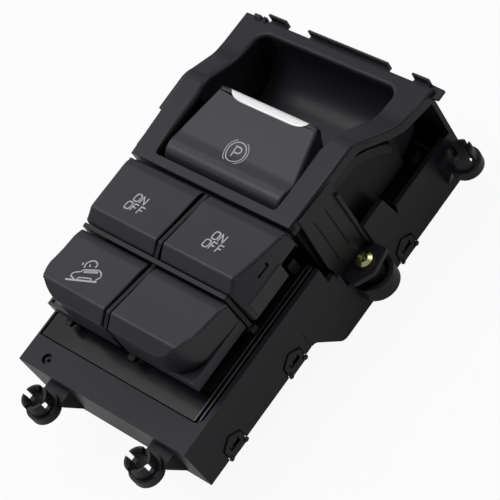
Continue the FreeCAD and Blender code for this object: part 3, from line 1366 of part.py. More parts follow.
def build_lever_case():
    """Inner case that carries the lever's pin, with side plates that follow the bezel."""
    floor = RIM - S.case_floor_drop
    near = FRONT + BEZEL_FRONT + S.case_front_gap
    far = FRONT + CASE_BACK
    case = Moulding("lever_case")
    case.pad("YZ", -CASE_HALF, CASE_HALF, [
        (near, floor),
        (far, floor),
        (far, RIM + S.case_top_back, 1.5),
        (FRONT + CASE_BEND, RIM + S.case_top_mid, 6.0),
        (FRONT + PIVOT_PLACE + 8.5, RIM + S.case_top_front),
        (FRONT + PIVOT_PLACE + 5.0, RIM + S.case_pillar_rise),
        (FRONT + PIVOT_PLACE - 4.4, RIM + S.case_pillar_rise),
        (near, RIM + S.case_top_front),
    ])
    inner = CASE_HALF - S.case_wall
    post = CASE_HALF - S.case_post_inset
    case.pocket("XY", floor + S.case_floor, RIM + FAR, rectangle(-inner, inner, near + 1.6, far + 1.0))
    case.pocket("XY", floor - 1.0, floor + S.case_floor + 1.0,
                rectangle(-inner, inner, FRONT + (BOWL_FRONT - S.case_floor_gap), far + 1.0))
    case.pocket("XY", floor - 1.0, floor + S.case_floor + 1.0,
                rectangle(-S.arm_width / 2 - 1.0, S.arm_width / 2 + 1.0,
                          FRONT + PIVOT_PLACE - 5.0, FRONT + PIVOT_PLACE + 6.5))
    case.pad("XY", BOARD_TOP + S.seat_gap, floor + 0.5,
             *[(x, FRONT + y, 2.5) for x in (-post, post)
               for y in (OPENING_FRONT + 2.7, BOWL_FRONT - 4.5)])
    case.pocket("YZ", -CASE_HALF, CASE_HALF,
                (FRONT + PIVOT_PLACE, RIM + S.pivot_rise, S.pivot_radius + 0.03))
    node("lever_case", case.body)


def lever_side(grow):
    """Side view of the lever: a round nose over the pin, a valley, and a rising face."""
    nose_y = FRONT + PIVOT_PLACE - S.nose_radius
    nose_top = RIM + S.pivot_rise + S.nose_radius
    skirt = RIM + S.lever_skirt_rise
    return [
        (nose_y, RIM + S.pivot_rise - 2.6),
        (FRONT + PIVOT_PLACE + 3.0, skirt),
        (FRONT + LEVER_BACK - 4.5, skirt),
        (FRONT + LEVER_BACK, RIM + S.lever_back_rise - 1.4, 0.8),
        (FRONT + LEVER_BACK - S.lever_crest_inset, RIM + S.lever_back_rise, 0.8),
        (FRONT + LEVER_KINK, RIM + S.lever_valley_rise, 5.0),
        (FRONT + PIVOT_PLACE + 1.6, nose_top, 3.0),
        (nose_y, nose_top, S.nose_radius - 0.1),
    ]


def lever_plan(inset):
    """Plan of the lever, tapering towards the back."""
    near = FRONT + PIVOT_PLACE - S.nose_radius + inset
    far = FRONT + LEVER_BACK - inset
    return [
        (-(LEVER_FRONT_HALF - inset), near, 0.6),
        (LEVER_FRONT_HALF - inset, near, 0.6),
        (LEVER_KINK_HALF - inset, FRONT + LEVER_KINK, 4.0),
        (LEVER_BACK_HALF - inset, far, 2.2),
        (-(LEVER_BACK_HALF - inset), far, 2.2),
        (-(LEVER_KINK_HALF - inset), FRONT + LEVER_KINK, 4.0),
    ]


def lens_outline(grow):
    """Plan of the bright strip: straight behind, bowed in front."""
    far = FRONT + LEVER_BACK + 2.0
    near = far - 2.0 - S.garnish_bulge - grow
    half = GARNISH_HALF + grow
    return [
        (-half, far), (-half, far - 2.6), (-half * 0.55, near + 0.5, 14.0), (half * 0.55, near + 0.5, 14.0),
        (half, far - 2.6), (half, far),
    ]


def build_lever():
    """Paddle, bright strip, carrier with its arm, and the pivot pin."""
    near = FRONT + PIVOT_PLACE - S.nose_radius
    form = common("lever_form", prism("lever_plan", "XY", RIM - 5.0, RIM + FAR, lever_plan(0.0)),
                  prism("lever_side", "YZ", -FAR, FAR, lever_side(0.0)))
    skin = S.lever_skin
    nose_top = RIM + S.pivot_rise + S.nose_radius - skin
    cavity = common("lever_cavity",
                    prism("cavity_plan", "XY", RIM - 5.0, RIM + FAR, lever_plan(skin)),
                    prism("cavity_side", "YZ", -FAR, FAR, [
                        (near + skin, RIM),
                        (FRONT + LEVER_BACK - 6.5, RIM),
                        (FRONT + LEVER_BACK - 2.6, RIM + S.lever_back_rise - skin - 1.2),
                        (FRONT + LEVER_KINK, RIM + S.lever_valley_rise - skin, 5.0),
                        (FRONT + PIVOT_PLACE + 1.6, nose_top, 2.0),
                        (near + skin, nose_top, S.nose_radius - skin - 0.1),
                    ]))
    pivot = (FRONT + PIVOT_PLACE, RIM + S.pivot_rise)
    pin_hole = cylinder("pin_hole", "X", *pivot, -FAR, FAR, S.pivot_radius + S.seat_gap)
    depth = S.garnish_thickness
    band = prism("garnish_band", "YZ", -FAR, FAR, rectangle(
        FRONT + LEVER_BACK - S.garnish_bulge - 4.0, FRONT + LEVER_BACK + 2.0,
        RIM + S.lever_back_rise - 1.4 - depth, RIM + FAR))
    seat = common("garnish_seat", prism("seat_plan", "XY", RIM, RIM + FAR, lens_outline(0.05)), band)
    blank = common("garnish_blank", prism("strip_plan", "XY", RIM, RIM + FAR, lens_outline(0.0)), band)
    node("lever_garnish", common("lever_garnish", form, blank))
    node("lever_cap", cut("lever_cap", form, cavity, seat, pin_hole))

    reach = LEVER_FRONT_HALF - skin - 0.4
    tube = cylinder("carrier_tube", "X", *pivot, -reach, reach, S.nose_radius - skin - 0.4)
    web = block("carrier_web", -LEVER_BACK_HALF + skin + 1.2, LEVER_BACK_HALF - skin - 1.2,
                FRONT + PIVOT_PLACE, FRONT + LEVER_BACK - 7.0,
                RIM + S.lever_valley_rise - skin - 2.5, RIM + S.lever_valley_rise - skin - 0.3)
    half = S.arm_width / 2
    arm = block("carrier_arm", -half, half, FRONT + PIVOT_PLACE - S.arm_thickness / 2,
                FRONT + PIVOT_PLACE + S.arm_thickness / 2, BOARD_TOP + 1.0, RIM + S.pivot_rise)
    bore = cylinder("carrier_bore", "X", *pivot, -FAR, FAR, S.pivot_radius + S.running_gap)
    node("lever_carrier", cut("lever_carrier", fuse("carrier", tube, web, arm), bore))
    node("lever_pivot_pin", cylinder("lever_pivot_pin", "X", *pivot, -CASE_HALF + 0.2,
                                     CASE_HALF - 0.2, S.pivot_radius))


def build_lever_switch(label, side, face):
    """Small switch on the board whose plunger faces the lever's arm."""
    low = BOARD_TOP + 0.1
    high = RIM - S.case_floor_drop - S.seat_gap
    back = face + S.lever_switch_length * side
    near, far = (back, face) if side < 0 else (face, back)
    half = S.lever_switch_width / 2
    body = block("lever_switch", -half, half, near, far, low, high)
    tip = face - S.plunger_reach * side
    start, stop = (face - 0.5, tip) if side < 0 else (tip, face + 0.5)
    plunger = cylinder("plunger", "Y", 0, (low + high) / 2, start, stop, S.plunger_radius)
    node(label, fuse(label, body, plunger))


def build_bezel_screws():
    """Two cross-recess screws through the bezel's ears."""
    screws = []
    for side in (-1, 1):
        across = SCREW_X * side
        seat = EAR_TOP + 0.05
        rim = cylinder("bezel_screw", "Z", across, SCREW_Y, seat, seat + S.screw_head_height * 0.6,
                       S.screw_head_radius)
        crown = cone("bezel_screw", "Z", across, SCREW_Y, seat + S.screw_head_height * 0.6,
                     seat + S.screw_head_height, S.screw_head_radius, S.screw_head_radius * 0.6)
        shank = cylinder("bezel_screw", "Z", across, SCREW_Y, BOSS_TOP - S.screw_length + 1.0, seat + 0.2,
                         S.screw_radius)
        deep = seat + S.screw_head_height - 1.2
        one = block("recess", across - 1.7, across + 1.7, SCREW_Y - 0.38, SCREW_Y + 0.38, deep, seat + 5.0)
        two = block("recess", across - 0.38, across + 0.38, SCREW_Y - 1.7, SCREW_Y + 1.7, deep, seat + 5.0)
        screws.append(cut("bezel_screw", fuse("bezel_screw", rim, crown, shank), one, two))
    group("bezel_screws", screws)


def export_parts():
    """Check every object of the document, then write each sub-part."""
    doc.recompute()
    faults = [item.Name for item in doc.Objects if "Invalid" in item.State or "Error" in item.State]
    for label, item in NODES.items():
        shape = item.Shape
        if shape.isNull() or not shape.isValid() or not shape.Solids:
            faults.append(label)
    if faults:
        raise RuntimeError("not sound: " + ", ".join(faults))
    os.makedirs("parts", exist_ok=True)
    for label, item in NODES.items():
        item.Shape.exportStep(os.path.join("parts", f"{label}.step"))


def main():
    """Build every sub-part and write the files."""
    build_main_housing()
    build_bottom_cover()
    build_circuit_board()
    build_connector()
    build_switch_deck()
    build_button_guide()
    build_back_cap("button_cap_back_left", -1)
    build_back_cap("button_cap_back_right", 1)
    build_front_cap("button_cap_front_left", -1, False)
    build_front_cap("blank_cap_front_right", 1, True)
    for name in ("back_left", "back_right", "front_left"):
        build_dome(name)
        build_stem(name)
    build_bezel()
    build_bezel_screws()
    build_lever_case()
    build_lever()
    build_lever_switch("lever_switch_front", -1, FRONT + PIVOT_PLACE - S.arm_front_swing - S.plunger_reach)
    build_lever_switch("lever_switch_rear", 1, FRONT + PIVOT_PLACE + S.arm_rear_swing + S.plunger_reach)
    export_parts()


main()
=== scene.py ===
"""Parking brake switch block for a centre console, dressed and lit for a studio photograph.

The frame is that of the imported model: +X along a row of buttons, +Y towards the finger bowl,
+Z up out of the buttons. Lengths on the block are millimetres in the fields of the
sub-assemblies and metres in Blender; the studio's lengths are metres.
"""

import json
import logging
import math
from dataclasses import dataclass
from enum import Enum
from functools import cached_property
from typing import Any, Callable, Iterable, Sequence

import bmesh
import bpy
from mathutils import Matrix, Vector
from mathutils.bvhtree import BVHTree

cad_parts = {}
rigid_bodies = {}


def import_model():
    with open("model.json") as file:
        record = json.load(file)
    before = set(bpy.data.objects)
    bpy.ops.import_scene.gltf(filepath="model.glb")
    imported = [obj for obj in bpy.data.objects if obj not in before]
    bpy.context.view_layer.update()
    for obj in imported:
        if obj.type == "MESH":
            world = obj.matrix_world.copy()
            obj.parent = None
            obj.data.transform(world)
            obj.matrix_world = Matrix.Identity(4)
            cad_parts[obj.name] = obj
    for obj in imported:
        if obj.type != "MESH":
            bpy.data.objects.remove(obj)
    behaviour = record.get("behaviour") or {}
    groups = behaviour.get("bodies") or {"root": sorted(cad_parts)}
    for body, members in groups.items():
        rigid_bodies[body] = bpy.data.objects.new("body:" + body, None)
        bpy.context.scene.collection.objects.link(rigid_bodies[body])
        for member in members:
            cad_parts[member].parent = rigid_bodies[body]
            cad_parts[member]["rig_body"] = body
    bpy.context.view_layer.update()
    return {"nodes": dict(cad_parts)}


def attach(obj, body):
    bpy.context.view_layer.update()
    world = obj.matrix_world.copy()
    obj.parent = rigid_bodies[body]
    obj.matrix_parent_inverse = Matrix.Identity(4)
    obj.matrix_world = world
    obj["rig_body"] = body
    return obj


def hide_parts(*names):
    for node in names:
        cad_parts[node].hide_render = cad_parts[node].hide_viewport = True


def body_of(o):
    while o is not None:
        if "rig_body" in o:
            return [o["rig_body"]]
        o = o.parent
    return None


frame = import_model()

log = logging.getLogger("switch_block")

Colour = tuple[float, float, float]
Point = tuple[float, float, float]
Spot = tuple[float, float]
WidthRule = Callable[[Vector], float]
Item = bpy.types.Object
Form = bmesh.types.BMesh

MM = 0.001
FAR = 1000.0  # millimetres, past any place on the block
FLAT_DEG = 0.6  # faces that turn by less count as one
MERGE_DISTANCE = 0.000002  # points closer than this are one
SOFT_DEG = 28.0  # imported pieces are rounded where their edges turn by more
SOFT_SEGMENTS = 3
TAILORED_DEG = 17.0  # tailored pieces are rounded where their edges turn by more
TAILORED_SEGMENTS = 4
FULL_WIDTH_DEG = 28.0  # an edge that turns by so much more gets its full rounding
FIRST_SHARE = 0.08  # share of the rounding that the flattest rounded edge gets
STRAY_SHARE = 0.36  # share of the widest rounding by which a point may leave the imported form
SHADING_WEIGHT = 60
RAY_START = 0.2  # metres, above everything on the block
DOWN = Vector((0, 0, -1))


class Value:
    """One socket of a node tree, so that shader maths reads like plain arithmetic."""

    def __init__(self, graph: "Graph", socket: bpy.types.NodeSocket) -> None:
        """Wrap a socket."""
        self.graph = graph
        self.socket = socket

    def _math(self, operation: str, first: Any, second: Any) -> "Value":
        """Add one Math node and return its result."""
        return self.graph.node("ShaderNodeMath", {"operation": operation},
                               {0: first, 1: second}).out(0)

    def __add__(self, other: Any) -> "Value":
        """Sum with a number or another value."""
        return self._math("ADD", self, other)

    __radd__ = __add__

    def __sub__(self, other: Any) -> "Value":
        """Difference from a number or another value."""
        return self._math("SUBTRACT", self, other)

    def __rsub__(self, other: Any) -> "Value":
        """A number less this value."""
        return self._math("SUBTRACT", other, self)

    def __mul__(self, other: Any) -> "Value":
        """Product with a number or another value."""
        return self._math("MULTIPLY", self, other)

    __rmul__ = __mul__

    def limited(self) -> "Value":
        """This value held between 0 and 1."""
        return self._math("MINIMUM", self._math("MAXIMUM", self, 0.0), 1.0)

    def swing(self, amount: float) -> "Value":
        """This value's swing about one half, times an amount."""
        return (self - 0.5) * amount


class NodeHandle:
    """A node with short ways to its outputs."""

    def __init__(self, graph: "Graph", node: bpy.types.Node) -> None:
        """Wrap a node."""
        self.graph = graph
        self.node = node

    def out(self, key: int | str = 0) -> Value:
        """An output socket by place or name."""
        return Value(self.graph, self.node.outputs[key])


class Graph:
    """The node tree of one material or of the world."""

    def __init__(self, tree: bpy.types.NodeTree) -> None:
        """Empty the tree."""
        self.tree = tree
        tree.nodes.clear()

    def node(self, kind: str, settings: dict[str, Any] | None = None,
             inputs: dict[int | str, Any] | None = None) -> NodeHandle:
        """Add a node, set it up, then fill its sockets.

        Args:
            kind: The node's type.
            settings: Properties of the node.
            inputs: Values or links by socket place or name.

        Returns:
            The new node.
        """
        made = self.tree.nodes.new(kind)
        for name, value in (settings or {}).items():
            setattr(made, name, value)
        for key, value in (inputs or {}).items():
            if isinstance(value, Value):
                self.tree.links.new(value.socket, made.inputs[key])
            else:
                made.inputs[key].default_value = value
        return NodeHandle(self, made)

    @cached_property
    def place(self) -> Value:
        """Where on the object, made when it is first asked for."""
        return self.node("ShaderNodeTexCoord").out("Object")

    def noise(self, scale: float, detail: float = 2.0, roughness: float = 0.5) -> Value:
        """Add a noise texture over the object.

        Args:
            scale: Waves per metre.
            detail: Octaves.
            roughness: Weight of the finer octaves.

        Returns:
            Its value, about one half on average.
        """
        return self.node("ShaderNodeTexNoise", None, {
            "Vector": self.place, "Scale": scale, "Detail": detail,
            "Roughness": roughness}).out(0)

    def bump(self, strength: float, distance: float, height: Value) -> Value:
        """Normal that a relief of some depth bumps by a share."""
        return self.node("ShaderNodeBump", None, {
            "Strength": strength, "Distance": distance, "Height": height}).out(0)

    def mix(self, factor: Any, first: Any, second: Any) -> Value:
        """Blend two colours.

        Args:
            factor: Share of the second colour.
            first: Colour or socket at 0.
            second: Colour or socket at 1.

        Returns:
            The blended colour.
        """
        return self.node("ShaderNodeMix", {"data_type": "RGBA"},
                         {0: factor, 6: _rgba(first), 7: _rgba(second)}).out(2)


def _rgba(colour: Any) -> Any:
    """Add alpha to a plain colour and leave a socket as it is."""
    return colour if isinstance(colour, Value) else (*colour, 1.0)


def _scaled(colour: Colour, factor: float) -> Colour:
    """A colour made lighter or darker."""
    return tuple(channel * factor for channel in colour)


@dataclass(frozen=True)
class Finish:
    """Name and main colour of a finish; each kind has its own cover."""

    name: str
    colour: Colour

    def material(self) -> bpy.types.Material:
        """Build the material.

        Returns:
            A node material.
        """
        made = bpy.data.materials.new(self.name)
        made.use_nodes = True
        graph = Graph(made.node_tree)
        shader = graph.node("ShaderNodeBsdfPrincipled", None, self.cover(graph))
        graph.node("ShaderNodeOutputMaterial", None, {0: shader.out(0)})
        return made

    def cover(self, graph: Graph) -> dict[str, Any]:
        """Fill the shader's sockets.

        Args:
            graph: The material's graph.

        Returns:
            Values and links by socket name.
        """
        raise NotImplementedError


@dataclass(frozen=True)
class Moulded(Finish):
    """Moulded plastic with spark-eroded grain, slight mottling and a little dust.

    A painted highlight colour covers what stands above a height and right of a side: the light that
    rail tops catch.
    """

    mottle_scale, mottle_gain, mottle_shift = 55.0, 1.6, 0.3
    speck_scale, speck_level, speck_gain = 2600.0, 0.74, 9.0
    dust_colour = (0.25, 0.24, 0.23)
    grain_distance = 0.00002
    fine_swing, broad_swing = 0.16, 0.14
    highlight_sharpness = 20000.0

    roughness: float = 0.45
    specular: float = 0.3
    grain_mm: float = 0.22
    grain_depth: float = 0.12
    mottling: float = 0.12
    dust: float = 0.04
    # colour of the painted highlight on the ridge, standing in for the light that rail tops catch
    ridge: Colour | None = None
    highlight_height_mm: float = 0.0
    highlight_side_mm: float = 0.0

    def cover(self, graph: Graph) -> dict[str, Any]:
        """Grain, mottling, dust and the painted highlight on the ridge.

        Args:
            graph: The material's graph.

        Returns:
            Values and links by socket name.
        """
        fine = graph.noise(1.0 / (self.grain_mm * MM), roughness=0.55)
        broad = graph.noise(self.mottle_scale, 4.0, 0.6)
        specks = graph.noise(self.speck_scale, 1.0)
        base = graph.mix((broad * self.mottle_gain - self.mottle_shift).limited(),
                         _scaled(self.colour, 1.0 - self.mottling),
                         _scaled(self.colour, 1.0 + self.mottling))
        dusty = ((specks - self.speck_level) * self.speck_gain).limited() * self.dust
        base = graph.mix(dusty, base, self.dust_colour)
        # painted highlight: a lighter colour on the deck's rail tops, standing in for the light
        # they catch
        if self.ridge is not None:
            parts = graph.node("ShaderNodeSeparateXYZ", None, {0: graph.place})
            high = (parts.out("Z") - self.highlight_height_mm * MM) * self.highlight_sharpness
            outer = (parts.out("X") - self.highlight_side_mm * MM) * self.highlight_sharpness
            base = graph.mix(high.limited() * outer.limited(), base, self.ridge)
        return {"Base Color": base,
                "Roughness": (self.roughness + fine.swing(self.fine_swing)
                              + broad.swing(self.broad_swing)),
                "Normal": graph.bump(self.grain_depth, self.grain_distance, fine),
                "Specular IOR Level": self.specular}


@dataclass(frozen=True)
class Plated(Finish):
    """Plated or bare metal with fine turning marks and slight tarnish."""

    cloud_scale, cloud_gain, cloud_shift = 900.0, 2.2, 0.6
    mark_scale, mark_distance = 9000.0, 0.00001
    rough_swing = 0.1

    tarnish: Colour
    roughness: float = 0.22
    marks: float = 0.1
    metallic: float = 1.0

    def cover(self, graph: Graph) -> dict[str, Any]:
        """Tarnish in soft clouds and turning marks.

        Args:
            graph: The material's graph.

        Returns:
            Values and links by socket name.
        """
        cloud = graph.noise(self.cloud_scale, 3.0, 0.6)
        fine = graph.noise(self.mark_scale)
        worn = (cloud * self.cloud_gain - self.cloud_shift).limited()
        return {"Base Color": graph.mix(worn, self.colour, self.tarnish),
                "Metallic": self.metallic,
                "Roughness": (self.roughness + fine.swing(self.rough_swing)
                              + cloud.swing(self.rough_swing)),
                "Normal": graph.bump(self.marks, self.mark_distance, fine)}


@dataclass(frozen=True)
class Laminate(Finish):
    """Solder mask over fine copper tracks."""

    cell_scale, weave_scale, weave_share = 420.0, 3000.0, 0.1
    track_level, track_gain = 0.42, 12.0
    track_strength, track_distance = 0.3, 0.00003

    track: Colour
    roughness: float = 0.3

    def cover(self, graph: Graph) -> dict[str, Any]:
        """Tracks that stand up a little under the mask.

        Args:
            graph: The material's graph.

        Returns:
            Values and links by socket name.
        """
        cells = graph.node("ShaderNodeTexVoronoi", {"distance": "CHEBYCHEV"}, {
            "Vector": graph.place, "Scale": self.cell_scale}).out("Distance")
        fine = graph.noise(self.weave_scale)
        lines = ((cells - self.track_level) * self.track_gain).limited()
        return {"Base Color": graph.mix(lines, self.colour, self.track),
                "Roughness": self.roughness + fine * self.weave_share,
                "Normal": graph.bump(self.track_strength, self.track_distance, lines)}


@dataclass(frozen=True)
class Print(Finish):
    """Pad-printed ink with slightly uneven cover."""

    cloud_scale, cloud_share = 4000.0, 0.15

    roughness: float = 0.5
    specular: float = 0.3
    thinnest: float = 0.82

    def cover(self, graph: Graph) -> dict[str, Any]:
        """Ink that is dimmer where it lies thin.

        Args:
            graph: The material's graph.

        Returns:
            Values and links by socket name.
        """
        cloud = graph.noise(self.cloud_scale)
        return {"Base Color": graph.mix(cloud, _scaled(self.colour, self.thinnest), self.colour),
                "Roughness": self.roughness + cloud * self.cloud_share,
                "Specular IOR Level": self.specular}


class FinishName(Enum):
    """Every finish of the block.

    After name and colour, moulded ones give roughness, specular, grain_mm, grain_depth,
    mottling and dust, and plated ones give tarnish, roughness, marks and metallic.
    """

    HOUSING = Moulded("housing_plastic", (0.027, 0.0262, 0.0318), 0.42, 0.16, 0.25, 0.16)
    COVER = Moulded("cover_plastic", (0.027, 0.0262, 0.0318), 0.42, 0.16, 0.25, 0.16)
    BEZEL = Moulded("bezel_plastic", (0.0192, 0.0186, 0.0232), 0.38, 0.24, 0.2, 0.14)
    CAP = Moulded("cap_plastic", (0.0325, 0.0312, 0.0385), 0.36, 0.3, 0.16, 0.1)
    LEVER = Moulded("lever_plastic", (0.035, 0.0336, 0.0418), 0.36, 0.32, 0.16, 0.1)
    GUIDE = Moulded("guide_plastic", (0.02, 0.0193, 0.024), 0.36, 0.2, 0.2, 0.1)
    CASE = Moulded("case_plastic", (0.014, 0.0135, 0.016), 0.38, 0.14, 0.22, 0.12)
    # its lighter colour on the rail tops is a painted highlight
    DECK = Moulded("gloss_deck", (0.011, 0.0108, 0.014), 0.18, 0.24, 0.6, 0.05, 0.2, 0.02,
                   ridge=(0.12, 0.12, 0.135), highlight_height_mm=34.3, highlight_side_mm=32.4)
    SOCKET = Moulded("socket_plastic", (0.008, 0.008, 0.009), 0.4, 0.25)
    CARRIER = Moulded("carrier_plastic", (0.008, 0.008, 0.009), 0.42, 0.25)
    STEM = Moulded("stem_plastic", (0.03, 0.03, 0.032), 0.42, 0.3, 0.2, 0.1, 0.06)
    SWITCH = Moulded("switch_body", (0.02, 0.02, 0.024), 0.4)
    CHIP = Moulded("chip_plastic", (0.01, 0.01, 0.011), 0.5)
    LAMP = Moulded("lamp_plastic", (0.7, 0.68, 0.58), 0.3, 0.5, 0.3, 0.05, 0.06)
    DOME = Moulded("dome_rubber", (0.35, 0.35, 0.36), 0.6, 0.25, 0.3, 0.1, 0.06)
    BOARD = Laminate("board_laminate", (0.003, 0.0042, 0.0038), (0.006, 0.0078, 0.007))
    ZINC = Plated("zinc_screw", (0.2, 0.2, 0.21), (0.12, 0.12, 0.13), 0.3)
    YELLOW = Plated("yellow_screw", (0.74, 0.69, 0.34), (0.5, 0.56, 0.34), 0.2)
    CONTACT = Plated("contact_metal", (0.72, 0.7, 0.64), (0.5, 0.49, 0.46))
    STEEL = Plated("steel_pin", (0.3, 0.3, 0.31), (0.2, 0.2, 0.21))
    # chrome with a painted reflection: low metallic and a near-white colour that lamps light, for
    # the strip's blown-out shine
    CHROME_WITH_PAINTED_REFLECTION = Plated("bright_strip", (0.98, 0.98, 0.98), (0.94, 0.94, 0.95), 0.18, 0.02, 0.3)
    INK = Print("label_ink", (0.62, 0.62, 0.64))


class Wardrobe:
    """Makes each material once and dresses objects with it."""

    def __init__(self) -> None:
        """Start with nothing made."""
        self._made: dict[FinishName, bpy.types.Material] = {}

    def dress(self, item: Item, finish: FinishName) -> None:
        """Give an object one finish all over.

        Args:
            item: The object.
            finish: Its finish.
        """
        if finish not in self._made:
            self._made[finish] = finish.value.material()
        item.data.materials.clear()
        item.data.materials.append(self._made[finish])


def soften(item: Item, width_mm: float) -> None:
    """Round the edges of a moulded piece a little.

    Args:
        item: The object.
        width_mm: Width of the rounding.
    """
    flatten = item.modifiers.new("flatten", "DECIMATE")
    flatten.decimate_type = "DISSOLVE"
    flatten.angle_limit = math.radians(FLAT_DEG)
    bevel = item.modifiers.new("edges", "BEVEL")
    bevel.width = width_mm * MM
    bevel.segments = SOFT_SEGMENTS
    bevel.limit_method = "ANGLE"
    bevel.angle_limit = math.radians(SOFT_DEG)
    bevel.use_clamp_overlap = True
    bevel.harden_normals = True
    bevel.miter_outer = "MITER_ARC"


def settle(piece: Item, source: Item, reach_mm: float) -> None:
    """Apply a piece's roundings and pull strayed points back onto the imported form.

    Args:
        piece: The rounded piece, with its modifiers.
        source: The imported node's object.
        reach_mm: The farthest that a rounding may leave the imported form.
    """
    graph = bpy.context.evaluated_depsgraph_get()
    rounded = bpy.data.meshes.new_from_object(piece.evaluated_get(graph))
    piece.modifiers.clear()
    spots = [vertex.co for vertex in source.data.vertices]
    skin = BVHTree.FromPolygons(spots, [tuple(face.vertices) for face in source.data.polygons])
    low = [min(spot[i] for spot in spots) for i in range(3)]
    high = [max(spot[i] for spot in spots) for i in range(3)]
    for vertex in rounded.vertices:
        near, _, _, gap = skin.find_nearest(vertex.co)
        if gap > reach_mm * MM:
            vertex.co = near
        vertex.co = [min(max(vertex.co[i], low[i]), high[i]) for i in range(3)]
    rounded.name = piece.name
    piece.data = rounded


def weigh_edges(form: Form, width_at: WidthRule) -> float:
    """Give each edge its share of the widest rounding.

    Args:
        form: The shape to be rounded.
        width_at: Rounding of an edge by its middle, both in millimetres.

    Returns:
        The widest rounding in millimetres.
    """
    layer = form.edges.layers.float.new("bevel_weight_edge")
    widths = {}
    for edge in form.edges:
        turn = math.degrees(edge.calc_face_angle()) if len(edge.link_faces) == 2 else 0.0
        edge.smooth = True
        if turn > TAILORED_DEG:
            share = min(1.0, (turn - TAILORED_DEG) / FULL_WIDTH_DEG + FIRST_SHARE)
            widths[edge] = share * width_at((edge.verts[0].co + edge.verts[1].co) / (2 * MM))
            edge.smooth = widths[edge] > 0
    widest = max(widths.values())
    for edge, width in widths.items():
        edge[layer] = width / widest
    return widest


def tailored(source: Item, name: str, width_at: WidthRule) -> Item:
    """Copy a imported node's form and round its edges by place.

    Args:
        source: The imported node's object.
        name: Its name.
        width_at: Rounding of an edge by its middle, both in millimetres.

    Returns:
        The new piece.
    """
    mesh = bpy.data.meshes.new_from_object(source)
    mesh.name = name
    form = bmesh.new()
    form.from_mesh(mesh)
    bmesh.ops.remove_doubles(form, verts=form.verts[:], dist=MERGE_DISTANCE)
    bmesh.ops.dissolve_limit(form, angle_limit=math.radians(FLAT_DEG), verts=form.verts[:],
                             edges=form.edges[:])
    widest = weigh_edges(form, width_at)
    for face in form.faces:
        face.smooth = True
    form.to_mesh(mesh)
    form.free()
    mesh.materials.clear()
    piece = bpy.data.objects.new(name, mesh)
    bpy.context.scene.collection.objects.link(piece)
    bevel = piece.modifiers.new("edges", "BEVEL")
    bevel.width = widest * MM
    bevel.segments = TAILORED_SEGMENTS
    bevel.limit_method = "WEIGHT"
    bevel.use_clamp_overlap = False
    bevel.harden_normals = False
    bevel.miter_outer = "MITER_ARC"
    settle(piece, source, STRAY_SHARE * widest)
    shading = piece.modifiers.new("shading", "WEIGHTED_NORMAL")
    shading.mode = "FACE_AREA"
    shading.weight = SHADING_WEIGHT
    shading.keep_sharp = True
    return piece


def add_piece(name: str, form: Form, smooth: bool) -> Item:
    """Turn a finished bmesh into a linked object.

    Args:
        name: Name of the piece.
        form: The shape; it is freed.
        smooth: Shade the faces smoothly.

    Returns:
        The new object.
    """
    bmesh.ops.recalc_face_normals(form, faces=form.faces[:])
    for face in form.faces:
        face.smooth = smooth
    mesh = bpy.data.meshes.new(name)
    form.to_mesh(mesh)
    form.free()
    piece = bpy.data.objects.new(name, mesh)
    bpy.context.scene.collection.objects.link(piece)
    return piece


@dataclass(frozen=True)
class Zone:
    """A box of places in millimetres; across counts from the middle to either side."""

    across: Spot = (-FAR, FAR)
    along: Spot = (-FAR, FAR)
    height: Spot = (-FAR, FAR)

    def holds(self, middle: Vector) -> bool:
        """Tell whether a place lies in the zone."""
        return (self.across[0] < abs(middle.x) < self.across[1]
                and self.along[0] < middle.y < self.along[1]
                and self.height[0] < middle.z < self.height[1])


WidthRules = tuple[tuple[Zone, float], ...]


@dataclass
class Assembly:
    """Shared tools of the sub-assemblies."""

    wardrobe: Wardrobe

    @staticmethod
    def node(name: str) -> Item:
        """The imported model's object of a node."""
        return frame["nodes"][name]

    def finish_nodes(self, plan: dict[str, tuple[FinishName, float]]) -> None:
        """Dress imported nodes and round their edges.

        Args:
            plan: Finish and edge width in millimetres by node.
        """
        for name, (finish, width) in plan.items():
            item = self.node(name)
            self.wardrobe.dress(item, finish)
            if width > 0:
                soften(item, width)
            log.info("%s: %s", name, finish.value.name)

    def tailor_node(self, name: str, finish: FinishName, width_at: WidthRule) -> Item:
        """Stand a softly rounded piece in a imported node's place.

        Args:
            name: The node.
            finish: Finish of the piece.
            width_at: Rounding by place, in millimetres.

        Returns:
            The new piece.
        """
        source = self.node(name)
        body = body_of(source)
        piece = tailored(source, f"{name}_form", width_at)
        self.wardrobe.dress(piece, finish)
        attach(piece, body if isinstance(body, str) else body[0])
        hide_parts(name)
        log.info("%s: rounded, %s", name, finish.value.name)
        return piece

    def rib(self, name: str, finish: FinishName, outline: Sequence[Spot], span: Spot,
            edge_mm: float) -> Item:
        """Build a fixed moulded rib with softened edges.

        Args:
            name: Name of the rib.
            finish: Its finish.
            outline: Its section as places along the block and heights, in millimetres.
            span: Its two ends across the block, in millimetres.
            edge_mm: Rounding of its edges.

        Returns:
            The rib.
        """
        form = bmesh.new()
        start, end = ([form.verts.new((x * MM, y * MM, z * MM)) for y, z in outline] for x in span)
        form.faces.new(start)
        form.faces.new(end)
        for i in range(len(outline)):
            form.faces.new((start[i - 1], start[i], end[i], end[i - 1]))
        bmesh.ops.recalc_face_normals(form, faces=form.faces[:])
        bmesh.ops.bevel(form, geom=form.edges[:], offset=edge_mm * MM, segments=SOFT_SEGMENTS,
                        profile=0.5, affect="EDGES")
        made = add_piece(name, form, smooth=False)
        self.wardrobe.dress(made, finish)
        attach(made, "frame")
        log.info("%s: built", name)
        return made


@dataclass
class Housing(Assembly):
    """Lower tub, its cover and the screws that hold the bezel."""

    edge_mm: float = 0.25
    screw_edge_mm: float = 0.12

    def build(self) -> None:
        """Dress the housing."""
        self.finish_nodes({
            "main_housing": (FinishName.HOUSING, self.edge_mm),
            "bottom_cover": (FinishName.COVER, self.edge_mm),
            "bezel_screws": (FinishName.YELLOW, self.screw_edge_mm),
        })


